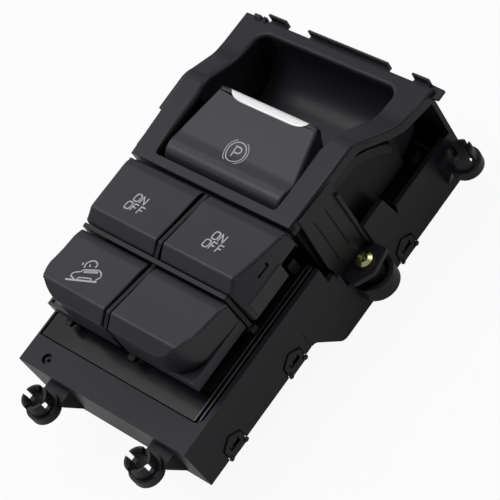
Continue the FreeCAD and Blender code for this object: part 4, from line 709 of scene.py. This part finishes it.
@dataclass
class Bezel(Assembly):
    """Wavy top frame with the finger bowl, and the case inside it.

    The ridge gives the height of the top face along the block. Skirts hang below it.
    """

    bowl_edge_mm: float = 1.5
    outer_edge_mm: float = 0.8
    strip_edge_mm: float = 0.3
    small_edge_mm: float = 0.25
    case_edge_mm: float = 0.3
    skirt_drop_mm: float = 1.2
    strip_end_mm: float = 17.0
    bowl_half_mm: float = 34.0
    bowl_taper: float = 0.06
    bowl_middle_mm: float = 45.0
    bowl_back_mm: float = 70.0
    ridge: tuple[Spot, ...] = (
        (9.75, 54.5), (36.0, 55.3), (42.35, 55.46), (49.0, 51.5), (56.55, 47.0), (62.0, 45.9),
        (73.25, 45.0))
    back_tabs: tuple[Zone, ...] = (
        Zone(along=(73.4, FAR)), Zone(across=(30.0, FAR), along=(72.4, FAR)))
    back_wall: Zone = Zone(along=(73.0, FAR))
    skirts: tuple[Zone, ...] = (
        Zone(across=(38.3, FAR), along=(52.0, FAR), height=(42.0, FAR)),
        Zone(across=(36.6, FAR), along=(-FAR, 40.0), height=(-FAR, 42.0)))
    brow_foot_mm: float = 32.3
    brow_top_mm: float = 33.9
    brow_outline: tuple[Spot, ...] = (
        (29.3, 49.2), (40.3, 49.3), (46.0, 45.6), (52.3, 40.0), (53.8, 36.9),
        (53.1, 33.8), (50.2, 37.4), (45.3, 41.7), (39.8, 45.4), (29.3, 45.7))

    def ridge_height(self, along: float) -> float:
        """Height of the top face, in millimetres.

        Args:
            along: Place along the block.

        Returns:
            The height.
        """
        if along <= self.ridge[0][0]:
            return self.ridge[0][1]
        for (near, low), (far, high) in zip(self.ridge, self.ridge[1:]):
            if along <= far:
                return low + (high - low) * (along - near) / (far - near)
        return self.ridge[-1][1]

    def edge_width(self, middle: Vector) -> float:
        """Rounding of a bezel edge by its place.

        Args:
            middle: Middle of the edge.

        Returns:
            The rounding in millimetres.
        """
        along = middle.y
        if any(zone.holds(middle) for zone in self.back_tabs):
            return 0.0
        if self.back_wall.holds(middle):
            return self.small_edge_mm
        if middle.z < self.ridge_height(along) - self.skirt_drop_mm:
            return self.small_edge_mm if any(zone.holds(middle) for zone in self.skirts) else 0.0
        if along < self.strip_end_mm:
            return self.strip_edge_mm
        bowl_side = self.bowl_half_mm - self.bowl_taper * abs(along - self.bowl_middle_mm)
        if abs(middle.x) < bowl_side and along < self.bowl_back_mm:
            return self.bowl_edge_mm
        return self.outer_edge_mm

    def build(self) -> None:
        """Make the bezel and the ribs on the case's side plates, and dress the case."""
        self.tailor_node("pocket_bezel", FinishName.BEZEL, self.edge_width)
        for name, side in (("case_brow_right", 1), ("case_brow_left", -1)):
            self.rib(name, FinishName.HOUSING, self.brow_outline,
                     (side * self.brow_foot_mm, side * self.brow_top_mm), self.small_edge_mm)
        self.finish_nodes({"lever_case": (FinishName.CASE, self.case_edge_mm)})


@dataclass(frozen=True)
class Stroke:
    """One printed line: its points in millimetres, and whether it closes."""

    points: tuple[Spot, ...]
    closed: bool = False


def arc(centre: Spot, radius: float, start: float, end: float, steps: int) -> Stroke:
    """Printed arc between two angles in degrees.

    Args:
        centre: Its centre.
        radius: Its radius.
        start: First angle.
        end: Last angle; 360 past the first gives a circle.
        steps: Segments.

    Returns:
        The stroke.
    """
    full = abs(end - start) >= 360.0
    count = steps if full else steps + 1
    turns = [math.radians(start + (end - start) * i / steps) for i in range(count)]
    return Stroke(tuple((centre[0] + radius * math.cos(turn), centre[1] + radius * math.sin(turn))
                        for turn in turns), full)


GLYPHS: dict[str, tuple[Stroke, ...]] = {
    "O": (Stroke(((0.28, 0.0), (0.5, 0.0), (0.68, 0.06), (0.76, 0.22), (0.76, 0.78), (0.68, 0.94),
                  (0.5, 1.0), (0.28, 1.0), (0.1, 0.94), (0.02, 0.78), (0.02, 0.22), (0.1, 0.06)),
                 True),),
    "N": (Stroke(((0.04, 0.0), (0.04, 1.0), (0.72, 0.0), (0.72, 1.0))),),
    "F": (Stroke(((0.04, 0.0), (0.04, 1.0), (0.62, 1.0))), Stroke(((0.04, 0.52), (0.54, 0.52)))),
    "P": (Stroke(((0.06, 0.0), (0.06, 1.0), (0.46, 1.0), (0.62, 0.96), (0.72, 0.84), (0.74, 0.72),
                  (0.7, 0.58), (0.58, 0.47), (0.42, 0.44), (0.06, 0.44))),),
}
GLYPH_STEP = 0.98  # from letter to letter, as a share of their height
GLYPH_WIDTH = 0.78


def word(text: str, middle: Spot, height: float) -> list[Stroke]:
    """Strokes of a centred word.

    Args:
        text: Letters that GLYPHS holds.
        middle: Centre of the word.
        height: Letter height.

    Returns:
        The strokes.
    """
    width = height * (GLYPH_STEP * (len(text) - 1) + GLYPH_WIDTH)
    strokes = []
    for place, letter in enumerate(text):
        left = middle[0] - width / 2 + place * GLYPH_STEP * height
        for stroke in GLYPHS[letter]:
            strokes.append(Stroke(tuple((left + x * height, middle[1] + (y - 0.5) * height)
                                        for x, y in stroke.points), stroke.closed))
    return strokes


@dataclass
class Printer:
    """Lays printed strokes and thin bands onto the surface of pieces."""

    wardrobe: Wardrobe
    film_mm: float = 0.03
    root_mm: float = 0.06
    step_mm: float = 0.5
    widest_corner: float = 1.6
    sharpest_corner: float = 0.3

    def outline(self, stroke: Stroke) -> list[Vector]:
        """Points of a stroke, close enough together to follow a curved face.

        Args:
            stroke: The stroke.

        Returns:
            Its points in millimetres.
        """
        spots = [Vector(point) for point in stroke.points]
        ends = spots[1:] + ([spots[0]] if stroke.closed else [])
        path = []
        for start, end in zip(spots, ends):
            count = max(1, math.ceil((end - start).length / self.step_mm))
            path.extend(start.lerp(end, i / count) for i in range(count))
        if not stroke.closed:
            path.append(spots[-1])
        return path

    def half_width(self, path: list[Vector], place: int, closed: bool, width: float) -> Vector:
        """Step from a point of a stroke to its edge, longer where the stroke turns.

        Args:
            path: The stroke's points.
            place: Which of them.
            closed: Whether it closes.
            width: Its width.

        Returns:
            The step.
        """
        count = len(path)
        spot = path[place]
        before = path[place - 1] if place > 0 or closed else spot
        after = path[(place + 1) % count] if place < count - 1 or closed else spot
        ahead = (spot - before).normalized() if before is not spot else (after - spot).normalized()
        leave = (after - spot).normalized() if after is not spot else ahead
        square = Vector((-ahead.y, ahead.x))
        across = Vector((-(ahead.y + leave.y), ahead.x + leave.x))
        if across.length < 1e-6:
            across = square.copy()
        across.normalize()
        spread = min(self.widest_corner, 1.0 / max(self.sharpest_corner, across.dot(square)))
        return across * (width / 2 * spread)

    def lay(self, form: Form, surface: BVHTree, stroke: Stroke, width: float) -> None:
        """Add one stroke's film.

        Args:
            form: The film's shape so far.
            surface: The faces that carry it.
            stroke: The stroke.
            width: Its width in millimetres.
        """
        path = self.outline(stroke)
        rings = []
        for place, spot in enumerate(path):
            half = self.half_width(path, place, stroke.closed, width)
            ring = []
            for edge, lift in ((half, self.film_mm), (-half, self.film_mm),
                               (-half, -self.root_mm), (half, -self.root_mm)):
                flat = spot + edge
                origin = Vector((flat.x * MM, flat.y * MM, RAY_START))
                hit = surface.ray_cast(origin, DOWN)[0]
                ring.append(form.verts.new((origin.x, origin.y, hit.z + lift * MM)))
            rings.append(ring)
        pairs = list(zip(rings, rings[1:]))
        if stroke.closed:
            pairs.append((rings[-1], rings[0]))
        for first, second in pairs:
            for i in range(4):
                j = (i + 1) % 4
                form.faces.new((first[i], first[j], second[j], second[i]))
        if not stroke.closed:
            form.faces.new(rings[0])
            form.faces.new(reversed(rings[-1]))

    def mark(self, name: str, carrier: Item, body: str,
             strokes: Iterable[tuple[Stroke, float]]) -> Item:
        """Print strokes on a piece.

        Args:
            name: Name of the printed film.
            carrier: The piece that carries it.
            body: The body it rides on.
            strokes: Strokes and their widths in millimetres.

        Returns:
            The film.
        """
        surface = BVHTree.FromObject(carrier, bpy.context.evaluated_depsgraph_get())
        form = bmesh.new()
        for stroke, width in strokes:
            self.lay(form, surface, stroke, width)
        film = add_piece(name, form, smooth=False)
        self.wardrobe.dress(film, FinishName.INK)
        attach(film, body)
        log.info("%s: printed", name)
        return film

    def band(self, name: str, carriers: Sequence[Item], body: str,
             finish: FinishName, sections: Sequence[Sequence[Spot]]) -> Item:
        """Lay a closed thin band over one or more pieces.

        Args:
            name: Name of the band.
            carriers: The pieces it lies on.
            body: The body it rides on.
            finish: Its finish.
            sections: Rows of plan points in millimetres, all of one length, along the band.

        Returns:
            The band.
        """
        graph = bpy.context.evaluated_depsgraph_get()
        surfaces = [BVHTree.FromObject(carrier, graph) for carrier in carriers]
        form = bmesh.new()
        upper, lower = [], []
        for row in sections:
            tops, feet = [], []
            for x, y in row:
                origin = Vector((x * MM, y * MM, RAY_START))
                hits = [surface.ray_cast(origin, DOWN)[0] for surface in surfaces]
                level = max(hit.z for hit in hits if hit is not None)
                tops.append(form.verts.new((origin.x, origin.y, level + 2 * self.film_mm * MM)))
                feet.append(form.verts.new((origin.x, origin.y, level - self.root_mm * MM)))
            upper.append(tops)
            lower.append(feet)
        last = len(sections[0]) - 1
        for (top, foot), (next_top, next_foot) in zip(zip(upper, lower), zip(upper[1:], lower[1:])):
            for j in range(last):
                form.faces.new((top[j], next_top[j], next_top[j + 1], top[j + 1]))
                form.faces.new((foot[j], foot[j + 1], next_foot[j + 1], next_foot[j]))
            form.faces.new((top[0], foot[0], next_foot[0], next_top[0]))
            form.faces.new((next_top[last], next_foot[last], foot[last], top[last]))
        for tops, feet in ((upper[0], lower[0]), (upper[-1][::-1], lower[-1][::-1])):
            for j in range(last):
                form.faces.new((tops[j], tops[j + 1], feet[j + 1], feet[j]))
        made = add_piece(name, form, smooth=True)
        self.wardrobe.dress(made, finish)
        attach(made, body)
        log.info("%s: laid", name)
        return made


@dataclass(frozen=True)
class CarSign:
    """Side view of a car on a slope under a small dial, on a grid that is turned on the cap.

    Each line has its width as a share of the ink's, whether it closes, and its points.
    """

    right_step: Spot = (0.324, 0.148)
    up_step: Spot = (-0.240, 0.295)
    lines: tuple[tuple[float, bool, tuple[Spot, ...]], ...] = (
        (1.5, False, ((-16.8, -9.0), (13.6, -10.7))),
        (1.0, False, ((-8.9, -8.6), (-9.4, -7.2), (-11.8, -5.9), (-11.5, -4.0), (-10.4, -2.4),
                      (-8.6, -1.4), (-2.9, -0.4), (-0.6, 1.2), (1.2, 1.7), (13.4, 1.7),
                      (15.2, 1.1), (16.6, -0.5), (17.2, -3.2), (16.4, -5.6), (14.9, -7.1),
                      (13.2, -7.9), (12.2, -9.2))),
        (1.0, False, ((-5.6, -8.6), (-4.3, -6.6), (7.3, -7.2), (8.2, -9.0))),
        (1.3, True, ((0.4, -0.9), (1.7, -0.2), (12.4, -0.2), (13.2, -1.0))),
        (1.0, False, ((0.2, 3.7), (0.3, 6.0), (1.2, 7.9), (2.8, 9.4), (5.0, 10.7), (7.4, 11.4),
                      (9.6, 11.2), (11.3, 10.1), (12.3, 8.6), (12.3, 6.9), (11.6, 5.4),
                      (10.2, 4.5))),
        (1.9, False, ((4.6, 6.0), (6.0, 6.3))),
        (2.0, False, ((-2.4, 8.1), (-1.2, 7.8))),
    )

    def strokes(self, middle: Spot, ink_mm: float) -> list[tuple[Stroke, float]]:
        """Lay the sign out on the cap.

        Args:
            middle: Centre of the sign on the cap.
            ink_mm: Width of a plain line.

        Returns:
            Its strokes and their widths.
        """
        strokes = []
        for share, closed, points in self.lines:
            placed = tuple((middle[0] + self.right_step[0] * u + self.up_step[0] * v,
                            middle[1] + self.right_step[1] * u + self.up_step[1] * v)
                           for u, v in points)
            strokes.append((Stroke(placed, closed), ink_mm * share))
        return strokes


@dataclass
class Buttons(Assembly):
    """Caps, their guide and the glossy deck under them.

    Each row of caps has rules: the first zone that holds an edge gives its rounding.
    """

    row_split_mm: float = -18.5
    crown_edge_mm: float = 0.9
    guide_edge_mm: float = 0.2
    deck_edge_mm: float = 0.1
    back_rules: WidthRules = (
        (Zone(across=(34.0, FAR), height=(46.5, 48.6)), 0.12),  # hooked slot
        (Zone(across=(30.0, FAR), along=(-7.6, -1.7), height=(50.6, 53.0)), 0.0),  # side panel
        (Zone(across=(3.0, 30.9), along=(-15.56, 7.06), height=(-FAR, 53.5)), 0.0),  # hollow
        (Zone(along=(7.6, FAR), height=(50.0, FAR)), 0.25),  # next to the bezel
        (Zone(height=(-FAR, 47.0)), 0.25),  # foot
        (Zone(across=(-FAR, 2.2)), 0.55),  # middle gap
    )
    front_rules: WidthRules = (
        (Zone(across=(34.0, FAR), height=(46.5, 48.6)), 0.12),
        (Zone(across=(3.0, 30.2), along=(-42.36, -21.04), height=(-FAR, 53.5)), 0.0),  # hollow
        (Zone(height=(-FAR, 45.2)), 0.0),  # tray
        (Zone(across=(28.2, FAR), along=(-40.8, -38.0)), 0.128),  # tip of the rolled corner
        (Zone(across=(19.0, FAR), along=(-FAR, -36.0)), 0.32),  # rolled corner
        (Zone(across=(29.0, FAR), along=(-FAR, -30.0)), 0.32),
        (Zone(across=(-FAR, 2.2)), 0.55),  # middle gap
    )
    # a dark filler wall across the gap between the back caps and the bezel: painted shade where the
    # gap would show only shade
    filler_outline: tuple[Spot, ...] = (
        (8.92, 44.0), (9.45, 44.0), (9.4, 52.0), (9.2, 52.2), (8.98, 52.0))
    filler_half_mm: float = 33.0
    filler_edge_mm: float = 0.08
    ink_mm: float = 0.45
    letter_mm: float = 2.85
    line_step: float = 1.26
    word_shifts: tuple[tuple[str, float], ...] = (("ON", -0.4), ("OFF", 0.2))
    word_middles: tuple[tuple[str, Spot], ...] = (
        ("back_left", (-17.2, -4.95)), ("back_right", (16.8, -4.5)))
    car_middle: Spot = (-18.28, -32.0)

    def edge_width(self, middle: Vector) -> float:
        """Rounding of a cap edge by its place.

        Args:
            middle: Middle of the edge.

        Returns:
            The rounding in millimetres.
        """
        rules = self.back_rules if middle.y > self.row_split_mm else self.front_rules
        return next((width for zone, width in rules if zone.holds(middle)), self.crown_edge_mm)

    def build(self) -> None:
        """Make the caps, dress what is under them and print their signs."""
        moving = ("back_left", "back_right", "front_left")
        caps = {name: self.tailor_node(f"button_cap_{name}", FinishName.CAP, self.edge_width)
                for name in moving}
        self.tailor_node("blank_cap_front_right", FinishName.CAP, self.edge_width)
        self.finish_nodes({
            "button_guide": (FinishName.GUIDE, self.guide_edge_mm),
            "switch_deck": (FinishName.DECK, self.deck_edge_mm),
            **{f"button_stem_{name}": (FinishName.STEM, 0.0) for name in moving},
            **{f"contact_dome_{name}": (FinishName.DOME, 0.0) for name in moving},
        })
        # painted shade: a dark filler wall in the gap behind the back caps, so the floor doesn't
        # show through
        self.rib("gap_shade_filler", FinishName.GUIDE, self.filler_outline,
                 (-self.filler_half_mm, self.filler_half_mm), self.filler_edge_mm)
        printer = Printer(self.wardrobe)
        half_step = self.letter_mm * self.line_step / 2
        for name, (x, y) in self.word_middles:
            lines = []
            for (text, shift), rise in zip(self.word_shifts, (half_step, -half_step)):
                lines += word(text, (x + shift, y + rise), self.letter_mm)
            printer.mark(f"label_{name}", caps[name], f"button_{name}",
                         [(line, self.ink_mm) for line in lines])
        printer.mark("label_front_left", caps["front_left"], "button_front_left",
                     CarSign().strokes(self.car_middle, self.ink_mm))


@dataclass
class Lever(Assembly):
    """Paddle with its bright strip, carrier and pin.

    An arc of the sign has radius, first and last angle, segments and width of line. The
    strip's front and back edges have place at the middle, sweep at the ends and its power.
    """

    cap_edge_mm: float = 1.1
    corner_edge_mm: float = 0.9
    foot_edge_mm: float = 0.3
    strip_edge_mm: float = 0.15
    seat: Zone = Zone(across=(-FAR, 17.2), along=(38.6, FAR))
    foot: Zone = Zone(height=(-FAR, 46.0))
    back_corner: Zone = Zone(across=(18.6, FAR), along=(41.5, FAR), height=(-FAR, 54.0))
    hollow_half_mm: float = 23.6
    hollow_taper: float = 0.19
    hollow_front_mm: float = 23.0
    hollow_top_mm: float = 53.0
    sign_middle: Spot = (-0.56, 24.9)
    arcs: tuple[tuple[float, float, float, int, float], ...] = (
        (3.55, 0, 360, 48, 0.36), (4.42, 118, 242, 28, 0.26), (4.42, -62, 62, 28, 0.26))
    letter_shift_mm: float = 0.2
    letter_mm: float = 3.8
    letter_ink_mm: float = 0.46
    strip_middle_mm: float = 0.4
    strip_half_mm: float = 16.5
    strip_edges: tuple[tuple[float, float, int], ...] = ((40.0, 2.5, 9), (43.12, -0.5, 8))
    strip_steps: tuple[int, int] = (24, 5)

    def edge_width(self, middle: Vector) -> float:
        """Rounding of a paddle edge by its place; the hollow and the strip's seat stay sharp.

        Args:
            middle: Middle of the edge.

        Returns:
            The rounding in millimetres.
        """
        hollow_side = self.hollow_half_mm - self.hollow_taper * max(
            0.0, middle.y - self.hollow_front_mm)
        in_hollow = abs(middle.x) < hollow_side and middle.z < self.hollow_top_mm
        if in_hollow or self.seat.holds(middle):
            return 0.0
        if self.foot.holds(middle):
            return self.foot_edge_mm
        return self.corner_edge_mm if self.back_corner.holds(middle) else self.cap_edge_mm

    def sign(self) -> list[tuple[Stroke, float]]:
        """Circled P between two arcs.

        Returns:
            Its strokes and their widths.
        """
        x, y = self.sign_middle
        strokes = [(arc((x, y), *shape), ink) for *shape, ink in self.arcs]
        letter = word("P", (x + self.letter_shift_mm, y), self.letter_mm)
        return strokes + [(line, self.letter_ink_mm) for line in letter]

    def strip_sections(self) -> list[list[Spot]]:
        """Rows of plan points of the strip's face, from left to right.

        Returns:
            The rows, in millimetres.
        """
        half, cross = self.strip_steps
        sections = []
        for i in range(-half, half + 1):
            near, far = (start + sweep * (abs(i) / half) ** power
                         for start, sweep, power in self.strip_edges)
            across = self.strip_middle_mm + self.strip_half_mm * i / half
            sections.append([(across, near + (far - near) * j / cross) for j in range(cross + 1)])
        return sections

    def build(self) -> None:
        """Make the lever, its sign and the strip's face."""
        cap = self.tailor_node("lever_cap", FinishName.LEVER, self.edge_width)
        self.finish_nodes({
            "lever_garnish": (FinishName.CHROME_WITH_PAINTED_REFLECTION, self.strip_edge_mm),
            "lever_carrier": (FinishName.CARRIER, 0.0),
            "lever_pivot_pin": (FinishName.STEEL, 0.0),
        })
        printer = Printer(self.wardrobe)
        printer.mark("label_lever", cap, "lever", self.sign())
        # the strip's face takes the same partly painted white reflection
        printer.band("lever_strip_face", (cap, self.node("lever_garnish")), "lever",
                     FinishName.CHROME_WITH_PAINTED_REFLECTION, self.strip_sections())


@dataclass
class Electronics(Assembly):
    """Board and everything soldered to it."""

    part_edge_mm: float = 0.15
    lamp_edge_mm: float = 0.1
    socket_edge_mm: float = 0.2

    def build(self) -> None:
        """Dress the board and its parts."""
        self.finish_nodes({
            "circuit_board": (FinishName.BOARD, 0.0),
            "board_screws": (FinishName.ZINC, 0.0),
            "microcontroller": (FinishName.CHIP, self.part_edge_mm),
            "indicator_lamps": (FinishName.LAMP, self.lamp_edge_mm),
            "lever_switch_front": (FinishName.SWITCH, self.part_edge_mm),
            "lever_switch_rear": (FinishName.SWITCH, self.part_edge_mm),
            "connector_socket": (FinishName.SOCKET, self.socket_edge_mm),
            "terminal_pins": (FinishName.CONTACT, 0.0),
        })


@dataclass(frozen=True)
class Lamp:
    """A square area lamp: its place, length of side and power in watts."""

    name: str
    place: Point
    size: float
    power: float


@dataclass
class Studio:
    """Pale floor, soft lamps and the camera, whose rows are its right, down and ahead."""

    camera_place: Point = (0.43347, -0.15149, 0.57332)
    rows: tuple[Point, Point, Point] = (
        (0.71459883, 0.57952451, -0.39179057),
        (0.35800432, -0.78414297, -0.50690502),
        (-0.60098371, 0.22197102, -0.76781993),
    )
    focal_px: float = 2260.25
    picture_px: float = 500.0
    sensor_mm: float = 36.0
    clip_end: float = 20.0
    lamps: tuple[Lamp, ...] = (
        Lamp("overhead", (-0.1, 0.0, 1.1), 0.8, 2.4),
        Lamp("overhead_left", (-0.45, -0.1, 1.0), 0.5, 2.6),
        Lamp("sheen", (-0.65, 0.22, 0.86), 1.0, 2.2),
        Lamp("left", (-0.95, 0.05, 0.5), 0.6, 1.1),
        Lamp("left_front", (-0.7, -0.75, 0.75), 0.7, 0.7),
        Lamp("back", (0.2, 0.95, 0.7), 0.8, 3.0),
    )
    lit_point: Point = (0, 0, 0.03)
    floor_size: float = 6.0
    floor_tones: Spot = (0.84, 0.86)
    floor_glow: float = 0.93
    cloud_scale: float = 3.0
    world_level: float = 0.02
    sheen_share: float = 0.3

    def build(self) -> None:
        """Make the floor, world, lamps and camera."""
        self._floor()
        self._world()
        for lamp in self.lamps:
            self._hang(lamp)
        self._camera()
        bpy.context.scene.view_settings.view_transform = "Standard"

    def _seen(self, graph: Graph) -> Value:
        """1 for the camera and through glass, less for gloss, 0 for light on the block."""
        path = graph.node("ShaderNodeLightPath")
        return (path.out("Is Camera Ray") + path.out("Is Glossy Ray") * self.sheen_share
                + path.out("Is Transmission Ray")).limited()

    def _floor(self) -> None:
        """White floor that shows white to the camera and keeps the shadow."""
        half = self.floor_size / 2
        mesh = bpy.data.meshes.new("studio_floor")
        mesh.from_pydata([(-half, -half, 0), (half, -half, 0), (half, half, 0), (-half, half, 0)],
                         [], [(0, 1, 2, 3)])
        floor = bpy.data.objects.new("studio_floor", mesh)
        bpy.context.scene.collection.objects.link(floor)
        made = bpy.data.materials.new("studio_floor")
        made.use_nodes = True
        graph = Graph(made.node_tree)
        cloud = graph.noise(self.cloud_scale)
        dim, pale = ((tone, tone, tone) for tone in self.floor_tones)
        matt = graph.node("ShaderNodeBsdfDiffuse", None, {"Color": graph.mix(cloud, dim, pale)})
        glow = graph.node("ShaderNodeEmission", None, {"Color": (1, 1, 1, 1), "Strength": 1.0})
        mixed = graph.node("ShaderNodeMixShader", None, {
            0: self._seen(graph) * self.floor_glow, 1: matt.out(0), 2: glow.out(0)})
        graph.node("ShaderNodeOutputMaterial", None, {0: mixed.out(0)})
        mesh.materials.append(made)

    def _world(self) -> None:
        """Soft surround that the camera and polished faces see as white."""
        world = bpy.data.worlds.new("studio")
        bpy.context.scene.world = world
        world.use_nodes = True
        graph = Graph(world.node_tree)
        strength = self.world_level + self._seen(graph) * (1.0 - self.world_level)
        background = graph.node("ShaderNodeBackground", None, {
            "Color": (1, 1, 1, 1), "Strength": strength})
        graph.node("ShaderNodeOutputWorld", None, {0: background.out(0)})

    def _hang(self, lamp: Lamp) -> None:
        """Hang a lamp and aim it at the block.

        Args:
            lamp: The lamp.
        """
        data = bpy.data.lights.new(lamp.name, "AREA")
        data.size = lamp.size
        data.energy = lamp.power
        hung = bpy.data.objects.new(lamp.name, data)
        hung.location = lamp.place
        aim = Vector(self.lit_point) - Vector(lamp.place)
        hung.rotation_euler = aim.to_track_quat("-Z", "Y").to_euler()
        bpy.context.scene.collection.objects.link(hung)

    def _camera(self) -> None:
        """Camera at the photograph's viewing angle."""
        data = bpy.data.cameras.new("camera")
        data.sensor_width = self.sensor_mm
        data.lens = self.sensor_mm * self.focal_px / self.picture_px
        data.clip_end = self.clip_end
        camera = bpy.data.objects.new("camera", data)
        right, down, ahead = (Vector(row) for row in self.rows)
        turn = Matrix((right, -down, -ahead)).transposed().to_4x4()
        camera.matrix_world = Matrix.Translation(self.camera_place) @ turn
        bpy.context.scene.collection.objects.link(camera)
        bpy.context.scene.camera = camera


def main() -> None:
    """Build and dress every sub-assembly in order."""
    logging.basicConfig(level=logging.INFO, format="%(message)s")
    wardrobe = Wardrobe()
    for part in (Housing(wardrobe), Bezel(wardrobe), Buttons(wardrobe), Lever(wardrobe),
                 Electronics(wardrobe)):
        part.build()
        log.info("%s done", type(part).__name__)
    Studio().build()


if __name__ == "__main__":
    main()
